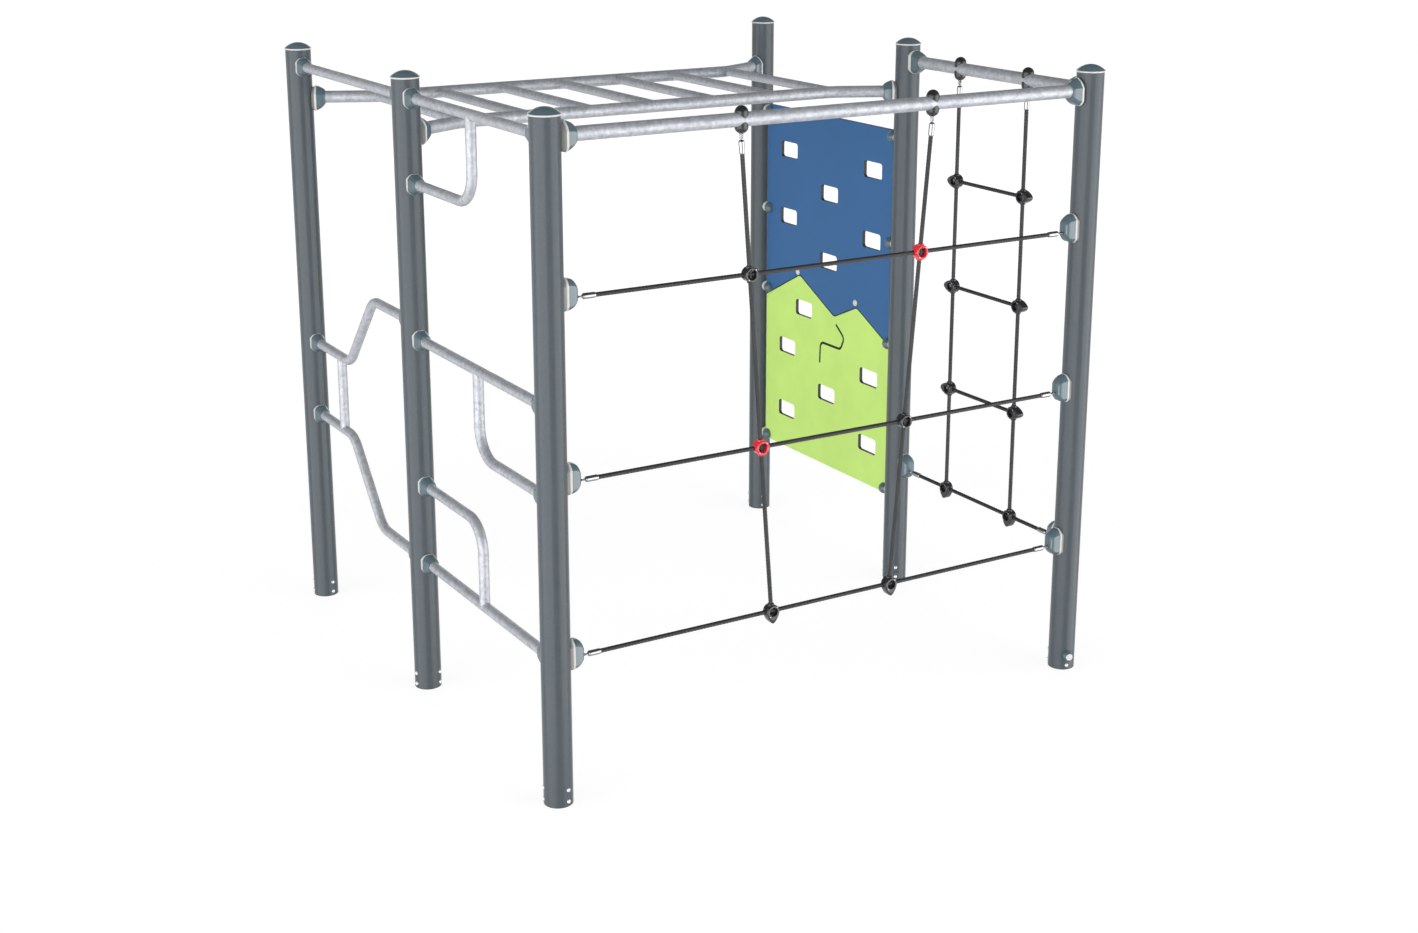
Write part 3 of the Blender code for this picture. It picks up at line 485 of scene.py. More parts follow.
def post_places(sizes):
    """Return where each post stands in plan."""
    bay = sizes.bay
    return {
        "front_left": (-bay, -bay), "middle_left": (-bay, 0.0), "rear_left": (-bay, bay),
        "rear_right": (bay, bay), "middle_right": (bay, 0.0), "front_right": (bay, -bay),
    }


def way(angle):
    """Return the level unit vector at an angle from +X."""
    return Vector((math.cos(angle), math.sin(angle), 0.0))


def from_post(sizes, where, angle, reach, height):
    """Return the point at a reach from a post's axis, at a height."""
    return Vector((*post_places(sizes)[where], height)) + way(angle) * reach


# Posts, caps and foot bolts

POST_SIDES = 96
POST_WALL = 0.0026
POST_CHAMFER = 0.0007
CAP_GAP = 0.0003                 # between a post's end and its cap's ring
CAP_RING_HEIGHT = 0.006
CAP_BOW = 0.0725                 # radius to which a cap is domed
CAP_RISE = 0.0225                # height of the dome
BOLT_ROWS = (0.019, 0.061)
BOLTS_ROUND = 3
FOOT_BOLTS = {                   # direction of the first bolt of each post, in degrees
    "front_left": 286, "rear_left": 286, "middle_left": 310, "front_right": 254, "rear_right": 258,
    "middle_right": 240,
}
COVERED_BOLT = ("front_right", 0, BOLT_ROWS[1])


def button_bolt():
    """Domed bolt head with a round recess."""
    return turned(rounded_profile([(0.0, 0.0030), (0.0026, 0.0030), (0.0028, 0.0058), (0.0062, 0.0046),
                                   (0.0075, 0.0005), (0.0075, -0.003), (0.0, -0.003)], 0.0016), 20)


def make_posts(sizes):
    """Posts with their domed caps, light cap rings and two rows of foot bolts."""
    radius, height = sizes.post_radius, sizes.post_height
    bore, edge = radius - POST_WALL, radius - POST_CHAMFER
    tube = turned([(bore, 0.0), (edge, 0.0), (radius, POST_CHAMFER), (radius, height - POST_CHAMFER),
                   (edge, height), (bore, height)], POST_SIDES, closed=True)
    foot = height + CAP_GAP
    top = foot + CAP_RING_HEIGHT
    inner = bore - 0.002
    ring = turned(rounded_profile([(inner, foot), (0.0530, foot), (0.0535, foot + CAP_RING_HEIGHT / 2),
                                   (0.0530, top), (inner, top)], 0.0012), POST_SIDES)
    dome_points = [(CAP_BOW * math.sin(math.radians(angle)),
                    top + CAP_RISE - CAP_BOW * (1 - math.cos(math.radians(angle))))
                   for angle in (0, 5, 10, 15, 20, 25, 30, 35, 40, 44)]
    dome = turned(dome_points + [(0.0522, top + 0.0016), (0.0528, top), (0.0, top)], POST_SIDES)
    bolt = button_bolt()
    for where, (x, y) in post_places(sizes).items():
        here = Matrix.Translation((x, y, 0.0))
        join(f"upright_{where}", [(tube, here, "post coat")], [f"post_{where}"])
        join(f"cap_ring_{where}", [(ring, here, LIGHT_RIM)])
        join(f"cap_dome_{where}", [(dome, here, PLASTIC)], [f"cap_{where}"])
        bolts = []
        for number in range(BOLTS_ROUND):
            angle = math.radians(FOOT_BOLTS[where] + 360 / BOLTS_ROUND * number)
            for level in BOLT_ROWS:
                if (where, number, level) != COVERED_BOLT:
                    at = from_post(sizes, where, angle, radius - 0.0006, level)
                    bolts.append((bolt, look_along(at, way(angle)), "bolt steel"))
        join(f"foot_bolts_{where}", bolts)
    make_bolt_cover(sizes)


def make_bolt_cover(sizes):
    """Cap over one foot bolt, with a plain disc."""
    where, _, level = COVERED_BOLT
    angle = math.radians(FOOT_BOLTS[where])
    cover = turned(rounded_profile([(0.0, 0.0245), (0.0125, 0.0245), (0.0130, 0.0215), (0.0175, 0.0165),
                                    (0.0192, 0.0080), (0.0192, 0.0), (0.0, 0.0)], 0.003), 40)
    disc = turned(rounded_profile([(0.0, 0.0268), (0.0128, 0.0268), (0.0135, 0.0258), (0.0135, 0.0240),
                                   (0.0, 0.0240)], 0.0006), 40)
    seat = look_along(from_post(sizes, where, angle, sizes.post_radius - 0.003, level), way(angle))
    join("bolt_cover", [(cover, seat, PLASTIC), (disc, seat, WHITE)])


# Galvanised tubes

TUBE_END = 0.0600                # from a post's axis to the end of a tube
THICK_SIDES, THIN_SIDES = 48, 40
MIDDLE_BAR = 1.383               # height of the middle bar
HOOK_AT = 0.002                  # from the middle of the bay to a hook's upright part
HOOK_BEND, CRANK_BEND, LADDER_BEND = 0.110, 0.105, 0.180
CRANK_NEAR, CRANK_FAR = 0.4015, 0.6785
STRUT_AT = 0.778
LADDER_INSET = 0.137             # from the posts' line to a side tube of the ladder
RUNG_PITCH = 0.277


def zinc_tube(corners, radius, sides, *bend):
    """Return a galvanised tube, ready to join."""
    return swept_tube(corners, radius, sides, *bend), STILL, ZINC


def make_tubes(sizes):
    """Top rails, the horizontal ladder and the bars of the left side."""
    bay, rail, thick, thin = sizes.bay, sizes.rail_height, sizes.thick_radius, sizes.thin_radius
    low, pitch, slot = sizes.low_rope, sizes.bar_pitch, "galvanised_steel"
    ends = bay - TUBE_END
    join("rail_front", [zinc_tube([(-ends, -bay, rail), (ends, -bay, rail)], thick, THICK_SIDES)],
         ["front_rail"])
    join("rail_side", [zinc_tube([(bay, -ends, rail), (bay, -TUBE_END, rail)], thick, THICK_SIDES)],
         ["side_rail"])
    make_ladder(sizes)
    front, back, upright = -ends, -TUBE_END, -bay / 2 + HOOK_AT
    for name, height, start, hook in (("top_bar", rail, back, rail - pitch),
                                      ("middle_bar", MIDDLE_BAR, front, MIDDLE_BAR - pitch),
                                      ("low_bar", low, back, low + pitch)):
        bar = zinc_tube([(-bay, front, height), (-bay, back, height)], thin, THIN_SIDES)
        bent = zinc_tube([(-bay, upright, height), (-bay, upright, hook), (-bay, start, hook)], thin,
                         THIN_SIDES, HOOK_BEND, 12)
        join(f"hooked_{name}", [bar, bent], [name])
    join("straight_top_bar", [zinc_tube([(-bay, TUBE_END, rail), (-bay, ends, rail)], thin, THIN_SIDES)],
         ["rear_top_bar"])
    shapes = [zinc_tube([(-bay, TUBE_END, near), (-bay, CRANK_NEAR, near), (-bay, CRANK_FAR, far),
                         (-bay, ends, far)], thin, THIN_SIDES, CRANK_BEND, 10)
              for near, far in ((low + 3 * pitch, low + 2 * pitch), (low, low + pitch))]
    shapes.append(zinc_tube([(-bay, STRUT_AT, low + pitch), (-bay, STRUT_AT, low + 2 * pitch)], thin,
                            THIN_SIDES))
    join("cranked_pair", shapes, ["cranked_bars"])


def ladder_lean(sizes):
    """Return where the ladder's outer rungs are, and the angle at which its side tubes leave the posts."""
    reach = RUNG_PITCH * (sizes.rungs - 1) / 2
    return reach, math.atan2(LADDER_INSET, sizes.bay - reach)


def make_ladder(sizes):
    """Two side tubes bent in towards each other, with rungs welded between them."""
    reach, lean = ladder_lean(sizes)
    height = sizes.ladder_height
    shapes = []
    for line, turn, row in ((0.0, 1, "middle"), (sizes.bay, -1, "rear")):
        y = line + turn * LADDER_INSET
        corners = [from_post(sizes, row + "_left", turn * lean, TUBE_END, height),
                   (-reach, y, height), (reach, y, height),
                   from_post(sizes, row + "_right", LEFT - turn * lean, TUBE_END, height)]
        shapes.append(zinc_tube(corners, sizes.thick_radius, THICK_SIDES, LADDER_BEND, 6))
    first = LADDER_INSET + sizes.thick_radius / 2
    for number in range(sizes.rungs):
        x = RUNG_PITCH * (number - (sizes.rungs - 1) / 2)
        shapes.append(zinc_tube([(x, first, height), (x, sizes.bay - first, height)], sizes.thin_radius,
                                THIN_SIDES))
    join("ladder_frame", shapes, ["monkey_ladder"])


# Brackets

BRACKET_FINISHES = [LIGHT_RIM, PLASTIC, "polished flank", "rim foot painted shade"]
# The last finish is painted shade on the feet of the rail and rope brackets, the light rim darkened
RIM, BODY, FLANK, SHADED_FOOT = range(4)
FACET = math.radians(17)         # the brackets' flanks are flat, and meet their corners at a sharper edge
CORNER_STEPS, CORNER_PROFILE = 4, 0.36
ROPE_BRACKET_RISE = 0.015        # a rope's bracket has its middle this much above the rope


def bracket_shape(outline, steps, flank=True):
    """Bracket that faces +X from a post's axis, drawn out from its outline through its sections.

    The outline is half width, half height and the two corner radii. A section is reach, half width,
    half height, rise of its middle, and finish. A kind with flat flanks has them polished.
    """
    shape = bmesh.new()
    width, height, corners = outline
    faces = flat_outline(shape, width, height, corners, CORNER_STEPS, (0.0, 0.0, 0.0), CORNER_PROFILE)
    reach, rise = 0.0, 0.0
    points = shape.verts[:]
    for i, (new_reach, new_width, new_height, new_rise, finish) in enumerate(steps):
        known = set(shape.faces) if i else set()
        if i:
            faces, points = pulled_face(shape, faces, (0.0, 0.0, 0.0))
        bmesh.ops.translate(shape, verts=points, vec=(new_reach - reach, 0.0, new_rise - rise))
        bmesh.ops.scale(shape, vec=(1.0, new_width / width, new_height / height), verts=points,
                        space=Matrix.Translation((0.0, 0.0, -new_rise)))
        for face in shape.faces:
            if face not in known:
                face.material_index = finish
        reach, width, height, rise = new_reach, new_width, new_height, new_rise
    finished(shape)
    for face in shape.faces:
        if flank and face.material_index == BODY and abs(face.normal.z) < 0.02 and abs(face.normal.y) > 0.5:
            face.material_index = FLANK
    return shape


def rail_bracket():
    """Bracket that holds a thick tube at a rail's or the ladder's end."""
    steps = [(0.0440, 0.0215, 0.0430, -0.006, SHADED_FOOT), (0.0580, 0.0366, 0.0478, -0.005, SHADED_FOOT),
             (0.0606, 0.0380, 0.0498, -0.004, RIM), (0.0640, 0.0380, 0.0504, -0.003, RIM),
             (0.0666, 0.0362, 0.0486, -0.003, RIM), (0.0668, 0.0356, 0.0480, -0.003, BODY),
             (0.0700, 0.0352, 0.0474, -0.0029, BODY), (0.0740, 0.0346, 0.0460, -0.0028, BODY),
             (0.0790, 0.0338, 0.0437, -0.0025, BODY), (0.0840, 0.0328, 0.0410, -0.0021, BODY),
             (0.0885, 0.0318, 0.0380, -0.0015, BODY), (0.0925, 0.0308, 0.0349, -0.0009, BODY),
             (0.0960, 0.0298, 0.0317, -0.0004, BODY), (0.0985, 0.0286, 0.0290, 0.0, BODY),
             (0.1000, 0.0268, 0.0268, 0.0, BODY)]
    return bracket_shape((0.038, 0.050, (0.033, 0.018)), steps)


def side_bracket():
    """Bracket that holds a thick tube at the side rail's ends."""
    steps = [(0.0400, 0.0294, 0.0462, -0.002, RIM), (0.0560, 0.0300, 0.0470, -0.002, RIM),
             (0.0590, 0.0300, 0.0470, -0.002, RIM), (0.0600, 0.0296, 0.0464, -0.002, RIM),
             (0.0602, 0.0291, 0.0458, -0.002, BODY), (0.0650, 0.0291, 0.0452, -0.002, BODY),
             (0.0720, 0.0290, 0.0434, -0.0018, BODY), (0.0780, 0.0289, 0.0410, -0.0015, BODY),
             (0.0840, 0.0287, 0.0380, -0.0010, BODY), (0.0900, 0.0284, 0.0345, -0.0005, BODY),
             (0.0950, 0.0280, 0.0308, 0.0, BODY), (0.0985, 0.0275, 0.0280, 0.0, BODY),
             (0.1000, 0.0266, 0.0266, 0.0, BODY)]
    return bracket_shape((0.0294, 0.0462, (0.020, 0.018)), steps, flank=False)


def rope_bracket():
    """Bracket that holds the link of a rope, with a domed nose."""
    steps = [(0.0400, 0.0280, 0.0500, -0.003, SHADED_FOOT), (0.0520, 0.0294, 0.0530, -0.001, SHADED_FOOT),
             (0.0550, 0.0300, 0.0538, 0.0, RIM), (0.0592, 0.0300, 0.0536, 0.0, RIM),
             (0.0602, 0.0294, 0.0528, 0.0, RIM), (0.0604, 0.0289, 0.0522, 0.0, BODY),
             (0.0690, 0.0284, 0.0514, 0.0, BODY), (0.0735, 0.0279, 0.0501, 0.0, BODY),
             (0.0780, 0.0272, 0.0481, 0.0, BODY), (0.0820, 0.0264, 0.0457, 0.0, BODY),
             (0.0855, 0.0255, 0.0429, 0.0, BODY), (0.0885, 0.0245, 0.0398, 0.0, BODY),
             (0.0912, 0.0234, 0.0362, 0.0, BODY), (0.0935, 0.0219, 0.0324, 0.0, BODY),
             (0.0955, 0.0199, 0.0283, 0.0, BODY), (0.0972, 0.0172, 0.0238, 0.0, BODY),
             (0.0985, 0.0142, 0.0191, 0.0, BODY), (0.0994, 0.0106, 0.0140, 0.0, BODY),
             (0.1000, 0.0062, 0.0080, 0.0, BODY)]
    return bracket_shape((0.029, 0.050, (0.020, 0.015)), steps)


def bar_bracket():
    """Bracket that holds a thin tube."""
    steps = [(0.0360, 0.0286, 0.0366, -0.0024, RIM), (0.0530, 0.0290, 0.0372, -0.0024, RIM),
             (0.0552, 0.0290, 0.0372, -0.0024, RIM), (0.0560, 0.0284, 0.0366, -0.0024, RIM),
             (0.0562, 0.0278, 0.0360, -0.0024, BODY), (0.0600, 0.0278, 0.0360, -0.0024, BODY),
             (0.0640, 0.0275, 0.0354, -0.0023, BODY), (0.0690, 0.0268, 0.0340, -0.0021, BODY),
             (0.0740, 0.0260, 0.0321, -0.0018, BODY), (0.0800, 0.0249, 0.0296, -0.0014, BODY),
             (0.0860, 0.0238, 0.0269, -0.0009, BODY), (0.0910, 0.0229, 0.0246, -0.0005, BODY),
             (0.0950, 0.0218, 0.0224, -0.0002, BODY), (0.0970, 0.0204, 0.0205, 0.0, BODY)]
    return bracket_shape((0.0286, 0.0366, (0.018, 0.018)), steps, flank=False)


def make_brackets(sizes):
    """All the brackets, each kind made once and set on its posts."""
    rail, ladder, low, pitch = sizes.rail_height, sizes.ladder_height, sizes.low_rope, sizes.bar_pitch
    lean = ladder_lean(sizes)[1]
    thick, side, rope, thin = rail_bracket(), side_bracket(), rope_bracket(), bar_bracket()
    places = [
        (thick, "front_rail_left", "front_left", RIGHT, rail),
        (thick, "front_rail_right", "front_right", LEFT, rail),
        (side, "side_rail_front", "front_right", REAR, rail),
        (side, "side_rail_rear", "middle_right", FRONT, rail),
        (thick, "ladder_middle_left", "middle_left", lean, ladder),
        (thick, "ladder_middle_right", "middle_right", LEFT - lean, ladder),
        (thick, "ladder_rear_left", "rear_left", -lean, ladder),
        (thick, "ladder_rear_right", "rear_right", LEFT + lean, ladder),
        (rope, "side_rope_front", "front_right", REAR, low + ROPE_BRACKET_RISE),
        (rope, "side_rope_rear", "middle_right", FRONT, low + ROPE_BRACKET_RISE),
        (thin, "top_bar_front", "front_left", REAR, rail),
        (thin, "top_bar_rear", "middle_left", FRONT, rail),
        (thin, "top_bar_hook", "middle_left", FRONT, rail - pitch),
        (thin, "middle_bar_front", "front_left", REAR, MIDDLE_BAR),
        (thin, "middle_bar_rear", "middle_left", FRONT, MIDDLE_BAR),
        (thin, "middle_bar_hook", "front_left", REAR, MIDDLE_BAR - pitch),
        (thin, "low_bar_front", "front_left", REAR, low),
        (thin, "low_bar_rear", "middle_left", FRONT, low),
        (thin, "low_bar_hook", "middle_left", FRONT, low + pitch),
        (thin, "rear_top_bar_front", "middle_left", REAR, rail),
        (thin, "rear_top_bar_rear", "rear_left", FRONT, rail),
        (thin, "upper_crank_front", "middle_left", REAR, low + 3 * pitch),
        (thin, "upper_crank_rear", "rear_left", FRONT, low + 2 * pitch),
        (thin, "lower_crank_front", "middle_left", REAR, low),
        (thin, "lower_crank_rear", "rear_left", FRONT, low + pitch),
    ]
    for level, word in enumerate(("lower", "middle", "upper")):
        height = low + level * sizes.rope_pitch + ROPE_BRACKET_RISE
        places += [(rope, f"{word}_rope_left", "front_left", RIGHT, height),
                   (rope, f"{word}_rope_right", "front_right", LEFT, height)]
    for shape, name, where, angle, height in places:
        post = from_post(sizes, where, angle, 0.0, height)
        at = Matrix.Translation(post) @ Matrix.Rotation(angle, 4, "Z")
        crease = FACET if shape in (thick, rope) else SMOOTH
        join(f"collar_{name}", [(shape, at, BRACKET_FINISHES)], [f"bracket_{name}"],
             crease)


# Rope nets

STRANDS = 6
ROPE_LAY = 0.078                 # length in which a strand goes once round
ROPE_STEP = 0.006
GROOVE, SHOULDER = 0.86, 0.965   # share of the radius between two strands and half-way to one
ROPE_END = 0.160                 # from a post's axis to a level rope's end, inside its ferrule
HANGER_DROP = 0.068              # from a rail's axis to the ferrule that hangs from it
HANGER_ROPE = 0.040              # from there to the rope's end
RING_OUTER, RING_BORE, RING_HALF = 0.0258, 0.0170, 0.0175


def twisted_rope(start, end, radius):
    """Rope of twisted strands between two points."""
    start, end = Vector(start), Vector(end)
    shape = bmesh.new()
    ring = start_ring(shape, start, end - start, radius, STRANDS * 4)
    points = [item for item in ring if isinstance(item, bmesh.types.BMVert)]
    for share, some in ((GROOVE, points[::4]), (SHOULDER, points[1::2])):
        bmesh.ops.scale(shape, vec=(share, share, share), verts=some, space=Matrix.Translation(-start))
    close_ring(shape, ring)
    length = (end - start).length
    turns = length / ROPE_LAY
    close_ring(shape, pull(shape, ring, end - start, round(length / ROPE_STEP), 2 * math.pi * turns, start))
    return finished(shape)


def ferrule():
    """Pressed sleeve on a rope's end, along +Z from its outer end, with the neck of its link."""
    return turned(rounded_profile([(0.0, -0.006), (0.0034, -0.006), (0.0036, -0.0005), (0.0075, 0.0),
                                   (0.0103, 0.004), (0.0103, 0.043), (0.0088, 0.047), (0.0, 0.047)],
                                  0.0015), 32)


def link_eye(reach):
    """Small eye with a neck, whose ring is centred on the origin and whose neck runs along +Z."""
    radius = 0.0068
    shape = bmesh.new()
    wire = bmesh.ops.create_circle(
        shape, cap_ends=False, segments=12, radius=0.0023,
        matrix=Matrix.Translation((radius, 0, 0)) @ Matrix.Rotation(QUARTER, 4, "X"))["verts"]
    ring = wire + list({edge for point in wire for edge in point.link_edges})
    bmesh.ops.spin(shape, geom=ring, cent=(0, 0, 0), axis=(0, 0, 1), angle=2 * math.pi, steps=28,
                   use_merge=True)
    bmesh.ops.rotate(shape, verts=shape.verts, cent=(0, 0, 0), matrix=Matrix.Rotation(QUARTER, 3, "X"))
    neck = start_ring(shape, (0, 0, radius), (0, 0, 1), 0.0026, 16)
    close_ring(shape, neck)
    close_ring(shape, pull(shape, neck, (0, 0, reach - radius)))
    return finished(shape)


def rope_end_shapes(post_point, along):
    """Return the pin, eye and ferrule that hold a rope's end to its bracket."""
    pin_start, pin_end, eye_centre, ferrule_end = (post_point + along * reach
                                                   for reach in (0.092, 0.1015, 0.1055, 0.121))
    return [(swept_tube([pin_start, pin_end], 0.0030, 16), STILL, STAINLESS),
            (link_eye(0.012), look_along(eye_centre, along), STAINLESS),
            (ferrule(), look_along(ferrule_end, along), STAINLESS)]


def level_rope_shapes(start, end, radius):
    """Return a level rope between two posts' axes with the fittings at its ends."""
    along = (end - start).normalized()
    rope = twisted_rope(start + along * ROPE_END, end - along * ROPE_END, radius)
    return [(rope, STILL, YARN), *rope_end_shapes(start, along), *rope_end_shapes(end, -along)]


def open_ring():
    """Ring about the Z axis, with chamfered rims."""
    upper = [(RING_OUTER, RING_HALF - 0.003), (RING_OUTER - 0.003, RING_HALF),
             (RING_BORE + 0.0018, RING_HALF), (RING_BORE, RING_HALF - 0.0025)]
    return turned(mirrored_profile(upper), 48, closed=True)


def ring_ear():
    """Solid ear of a ring, towards +X, where no rope leaves."""
    ear = bmesh.new()
    bmesh.ops.create_circle(ear, cap_ends=True, segments=48, radius=RING_OUTER - 0.0006)
    for point in ear.verts:
        lean = max(0.0, point.co.x) / RING_OUTER
        point.co.x += 0.0188 * lean ** 1.5
        point.co.y *= 1 - 0.22 * lean ** 2
    bmesh.ops.translate(ear, verts=ear.verts, vec=(0, 0, -RING_HALF + 0.0004))
    pulled_face(ear, ear.faces[:], (0, 0, 2 * RING_HALF - 0.0008))
    for point in ear.verts:
        lean = max(0.0, point.co.x - 0.012) / 0.032
        point.co.z *= 1 - 0.09 * min(1.0, lean) ** 1.4
    rims = [edge for edge in ear.edges if edge.is_manifold and edge.calc_face_angle() > 1.0]
    bmesh.ops.bevel(ear, geom=rims, offset=0.0028, segments=3, profile=0.5, affect="EDGES", material=-1)
    return finished(ear)


def eared_ring():
    """Ring with its ear, bored through."""
    drill = turned([(0.0, -0.03), (RING_BORE, -0.03), (RING_BORE, 0.03), (0.0, 0.03)], 48)
    return combined(open_ring(), ("UNION", ring_ear()), ("DIFFERENCE", drill))


def rope_sleeve():
    """Short sleeve where a rope enters a ring, along +Z from the ring's axis."""
    return turned(rounded_profile([(0.0084, 0.021), (0.0084, 0.0295), (0.0112, 0.0295), (0.0125, 0.0245),
                                   (0.0125, 0.021), (0.0084, 0.021)], 0.001), 24)


def ring_place(centre, normal, ear_towards):
    """Return the matrix that sets a ring's axis along a normal, with its ear in a direction."""
    z = Vector(normal).normalized()
    x = Vector(ear_towards).normalized()
    return Matrix.Translation(centre) @ Matrix((x, z.cross(x), z)).transposed().to_4x4()


def ring_shapes(ring, centre, facing, ear, level_way, entries, finish):
    """Return a ring with a sleeve for each rope that enters it, and two small screws on its front rim."""
    shapes = [(ring, ring_place(centre, facing, ear), finish)]
    sleeve = rope_sleeve()
    up = "Y" if level_way[0] else "X"
    shapes += [(sleeve, look_along(centre, entry, up), finish) for entry in entries]
    head = turned(rounded_profile([(0.0, 0.0012), (0.0024, 0.0010), (0.0028, 0.0), (0.0, 0.0)], 0.0006), 12)
    for angle in (math.radians(50), math.radians(230)):
        spot = Matrix.Translation((0.0212 * math.cos(angle), 0.0212 * math.sin(angle), 0.0174))
        shapes.append((head, ring_place(centre, facing, level_way) @ spot, STAINLESS))
    return shapes


def hanger_shapes(place, along_rope):
    """Return the capsule round a rail with its eye, and the ferrule below it."""
    half = 0.0235
    body = turned(mirrored_profile(dome_profile(half, half) + [(0.0, 2 * half)]), 48)
    below = place + Vector((0, 0, -0.0505))
    return [(body, Matrix.Translation(place), BLACK),
            (link_eye(0.012), look_along(below, (0, 0, 1)), STAINLESS),
            (link_eye(0.014), look_along(below + Vector((0, 0, -0.0065)), along_rope, "X"), STAINLESS),
            (ferrule(), look_along(place + Vector((0, 0, -HANGER_DROP)), along_rope), STAINLESS)]


def make_front_net(sizes):
    """Three level ropes and two slanted ones, with rings at their crossings."""
    bay, radius, low, rail = sizes.bay, sizes.rope_radius, sizes.low_rope, sizes.rail_height
    foot, slant = 0.2565, 0.0799             # a slanted rope's foot, and how far it leans out in a metre
    heights = [low + sizes.rope_pitch * level for level in range(3)]
    shapes = []
    for height in heights:
        shapes += level_rope_shapes(Vector((-bay, -bay, height)), Vector((bay, -bay, height)), radius)
    eared, plain = eared_ring(), open_ring()
    facing, right, left = (0, -1, 0), (1, 0, 0), (-1, 0, 0)
    for side, side_word in ((-1, "left"), (1, "right")):
        hang = Vector((side * (foot + slant * (rail - HANGER_DROP - low)), -bay, rail))
        top = hang + Vector((0, 0, -HANGER_DROP))
        bottom = Vector((side * foot, -bay, low))
        along = (bottom - top).normalized()
        shapes += hanger_shapes(hang, along)
        shapes.append((twisted_rope(top + along * HANGER_ROPE, bottom, radius), STILL, YARN))
        shapes += ring_shapes(eared, bottom, facing, (0, 0, -1), right, (right, left, -along), BLACK)
        for height, word in zip(heights[1:], ("middle", "upper")):
            centre = Vector((side * (foot + slant * (height - low)), -bay, height))
            red = (word == "upper") == (side > 0)
            parts = ring_shapes(plain, centre, facing, right, right, (right, left, along, -along),
                                "red moulding" if red else BLACK)
            name = f"{word}_{side_word}"
            join(f"cross_ring_{name}", parts, [f"rope_ring_{name}"])
    join("wide_net", shapes, ["front_net"])


def make_side_net(sizes):
    """Two upright ropes with short rungs and a level rope at the foot."""
    bay, radius, low = sizes.bay, sizes.rope_radius, sizes.low_rope
    half = 0.206
    rear_y, front_y = -bay / 2 + half, -bay / 2 - half
    rung_heights = (1.816, 1.382, 0.948)
    eared = eared_ring()
    facing, up, down, rearward, forward = (-1, 0, 0), (0, 0, 1), (0, 0, -1), (0, 1, 0), (0, -1, 0)
    shapes = level_rope_shapes(Vector((bay, -bay, low)), Vector((bay, 0.0, low)), radius)
    for y, outward, inward in ((rear_y, rearward, forward), (front_y, forward, rearward)):
        hang = Vector((bay, y, sizes.rail_height))
        start = hang + Vector((0, 0, -HANGER_DROP)) + Vector((0, 0, -HANGER_ROPE))
        shapes += hanger_shapes(hang, Vector(down))
        shapes.append((twisted_rope(start, (bay, y, low), radius), STILL, YARN))
        for height in rung_heights:
            shapes += ring_shapes(eared, (bay, y, height), facing, outward, forward, (up, down, inward),
                                  BLACK)
        shapes += ring_shapes(eared, (bay, y, low), facing, down, forward, (rearward, forward, up), BLACK)
    for height in rung_heights:
        rope = twisted_rope((bay, rear_y, height), (bay, front_y, height), radius)
        shapes.append((rope, STILL, YARN))
    join("narrow_net", shapes, ["side_net"])


# Panels

PANEL_GAP = 0.065                # from a post's axis to a panel's edge
PANEL_TOP, PANEL_BOTTOM = 1.969, 0.369
SEAM_REAR, SEAM_FRONT = 1.073, 1.029
SEAM_CORNERS = [(0.7655, 1.215), (0.4868, 1.077), (0.315, 1.153)]
SEAM_GAP = 0.005
ROUNDING = (0.020, 0.020, 0.0, 0.014, 0.014, 0.014, 0.0)     # at a sheet's outer corners, then the seam's
GROOVE_LINE = ((0.470, 1.046), (0.404, 0.996), (0.432, 0.940), (0.590, 0.940), (0.594, 0.842))
HOLE_COLUMNS = (0.216, 0.539, 0.863)
HOLE_TOP_ROW = 1.779
HOLE_PITCH = 0.1533
HOLE_WIDTH, HOLE_HEIGHT, HOLE_CORNER = 0.131, 0.071, 0.013
LONE_HOLE = (0.729, 1.065)
CLIP_SIDES = 40


def hole_places(first_row, rows):
    """Return the hole centres of rows that have two holes and one hole in turn."""
    places = []
    for row in range(rows):
        columns = HOLE_COLUMNS[::2] if row % 2 == 0 else HOLE_COLUMNS[1:2]
        places += [(y, HOLE_TOP_ROW - (first_row + row) * HOLE_PITCH) for y in columns]
    return places


def flat_plate(corners, thickness):
    """Plate in the X plane with the given corners."""
    plate = bmesh.new()
    plate.faces.new([plate.verts.new((-thickness / 2, y, z)) for y, z in corners])
    return plate


def sheet_shape(corners, thickness, holes, groove=None):
    """Sheet in the X plane, rounded at its corners, with holes and soft edges."""
    sheet = flat_plate(corners, thickness)
    for point, radius in zip(sheet.verts[:], ROUNDING):
        if radius:
            bmesh.ops.bevel(sheet, geom=[point], offset=radius, offset_type="OFFSET", segments=5,
                            profile=0.5, affect="VERTICES", material=-1)
    pulled_face(sheet, sheet.faces[:], (thickness, 0, 0))
    punch = bmesh.new()
    for y, z in holes:
        known = set(punch.faces)
        flat_outline(punch, HOLE_WIDTH / 2, HOLE_HEIGHT / 2, (HOLE_CORNER, HOLE_CORNER), 6,
                     (-thickness, y, z))
        pulled_face(punch, [face for face in punch.faces if face not in known], (2 * thickness, 0, 0))
    shape = combined(finished(sheet), ("DIFFERENCE", finished(punch)))
    bmesh.ops.dissolve_limit(shape, angle_limit=math.radians(1), verts=shape.verts, edges=shape.edges)
    rims = [edge for edge in shape.edges if edge.is_manifold and edge.calc_face_angle() > 1.2]
    bmesh.ops.bevel(shape, geom=rims, offset=0.0010, segments=2, profile=0.5, affect="EDGES", material=-1)
    if groove:
        shape = combined(finished(shape), ("DIFFERENCE", groove))
    finished(shape)
    for face in shape.faces:
        # Faces within the sheet's thickness, round its edges and holes, take the near-black edge finish
        face.material_index = 1 if abs(face.calc_center_median().x) < thickness / 2 - 0.0003 else 0
    return shape


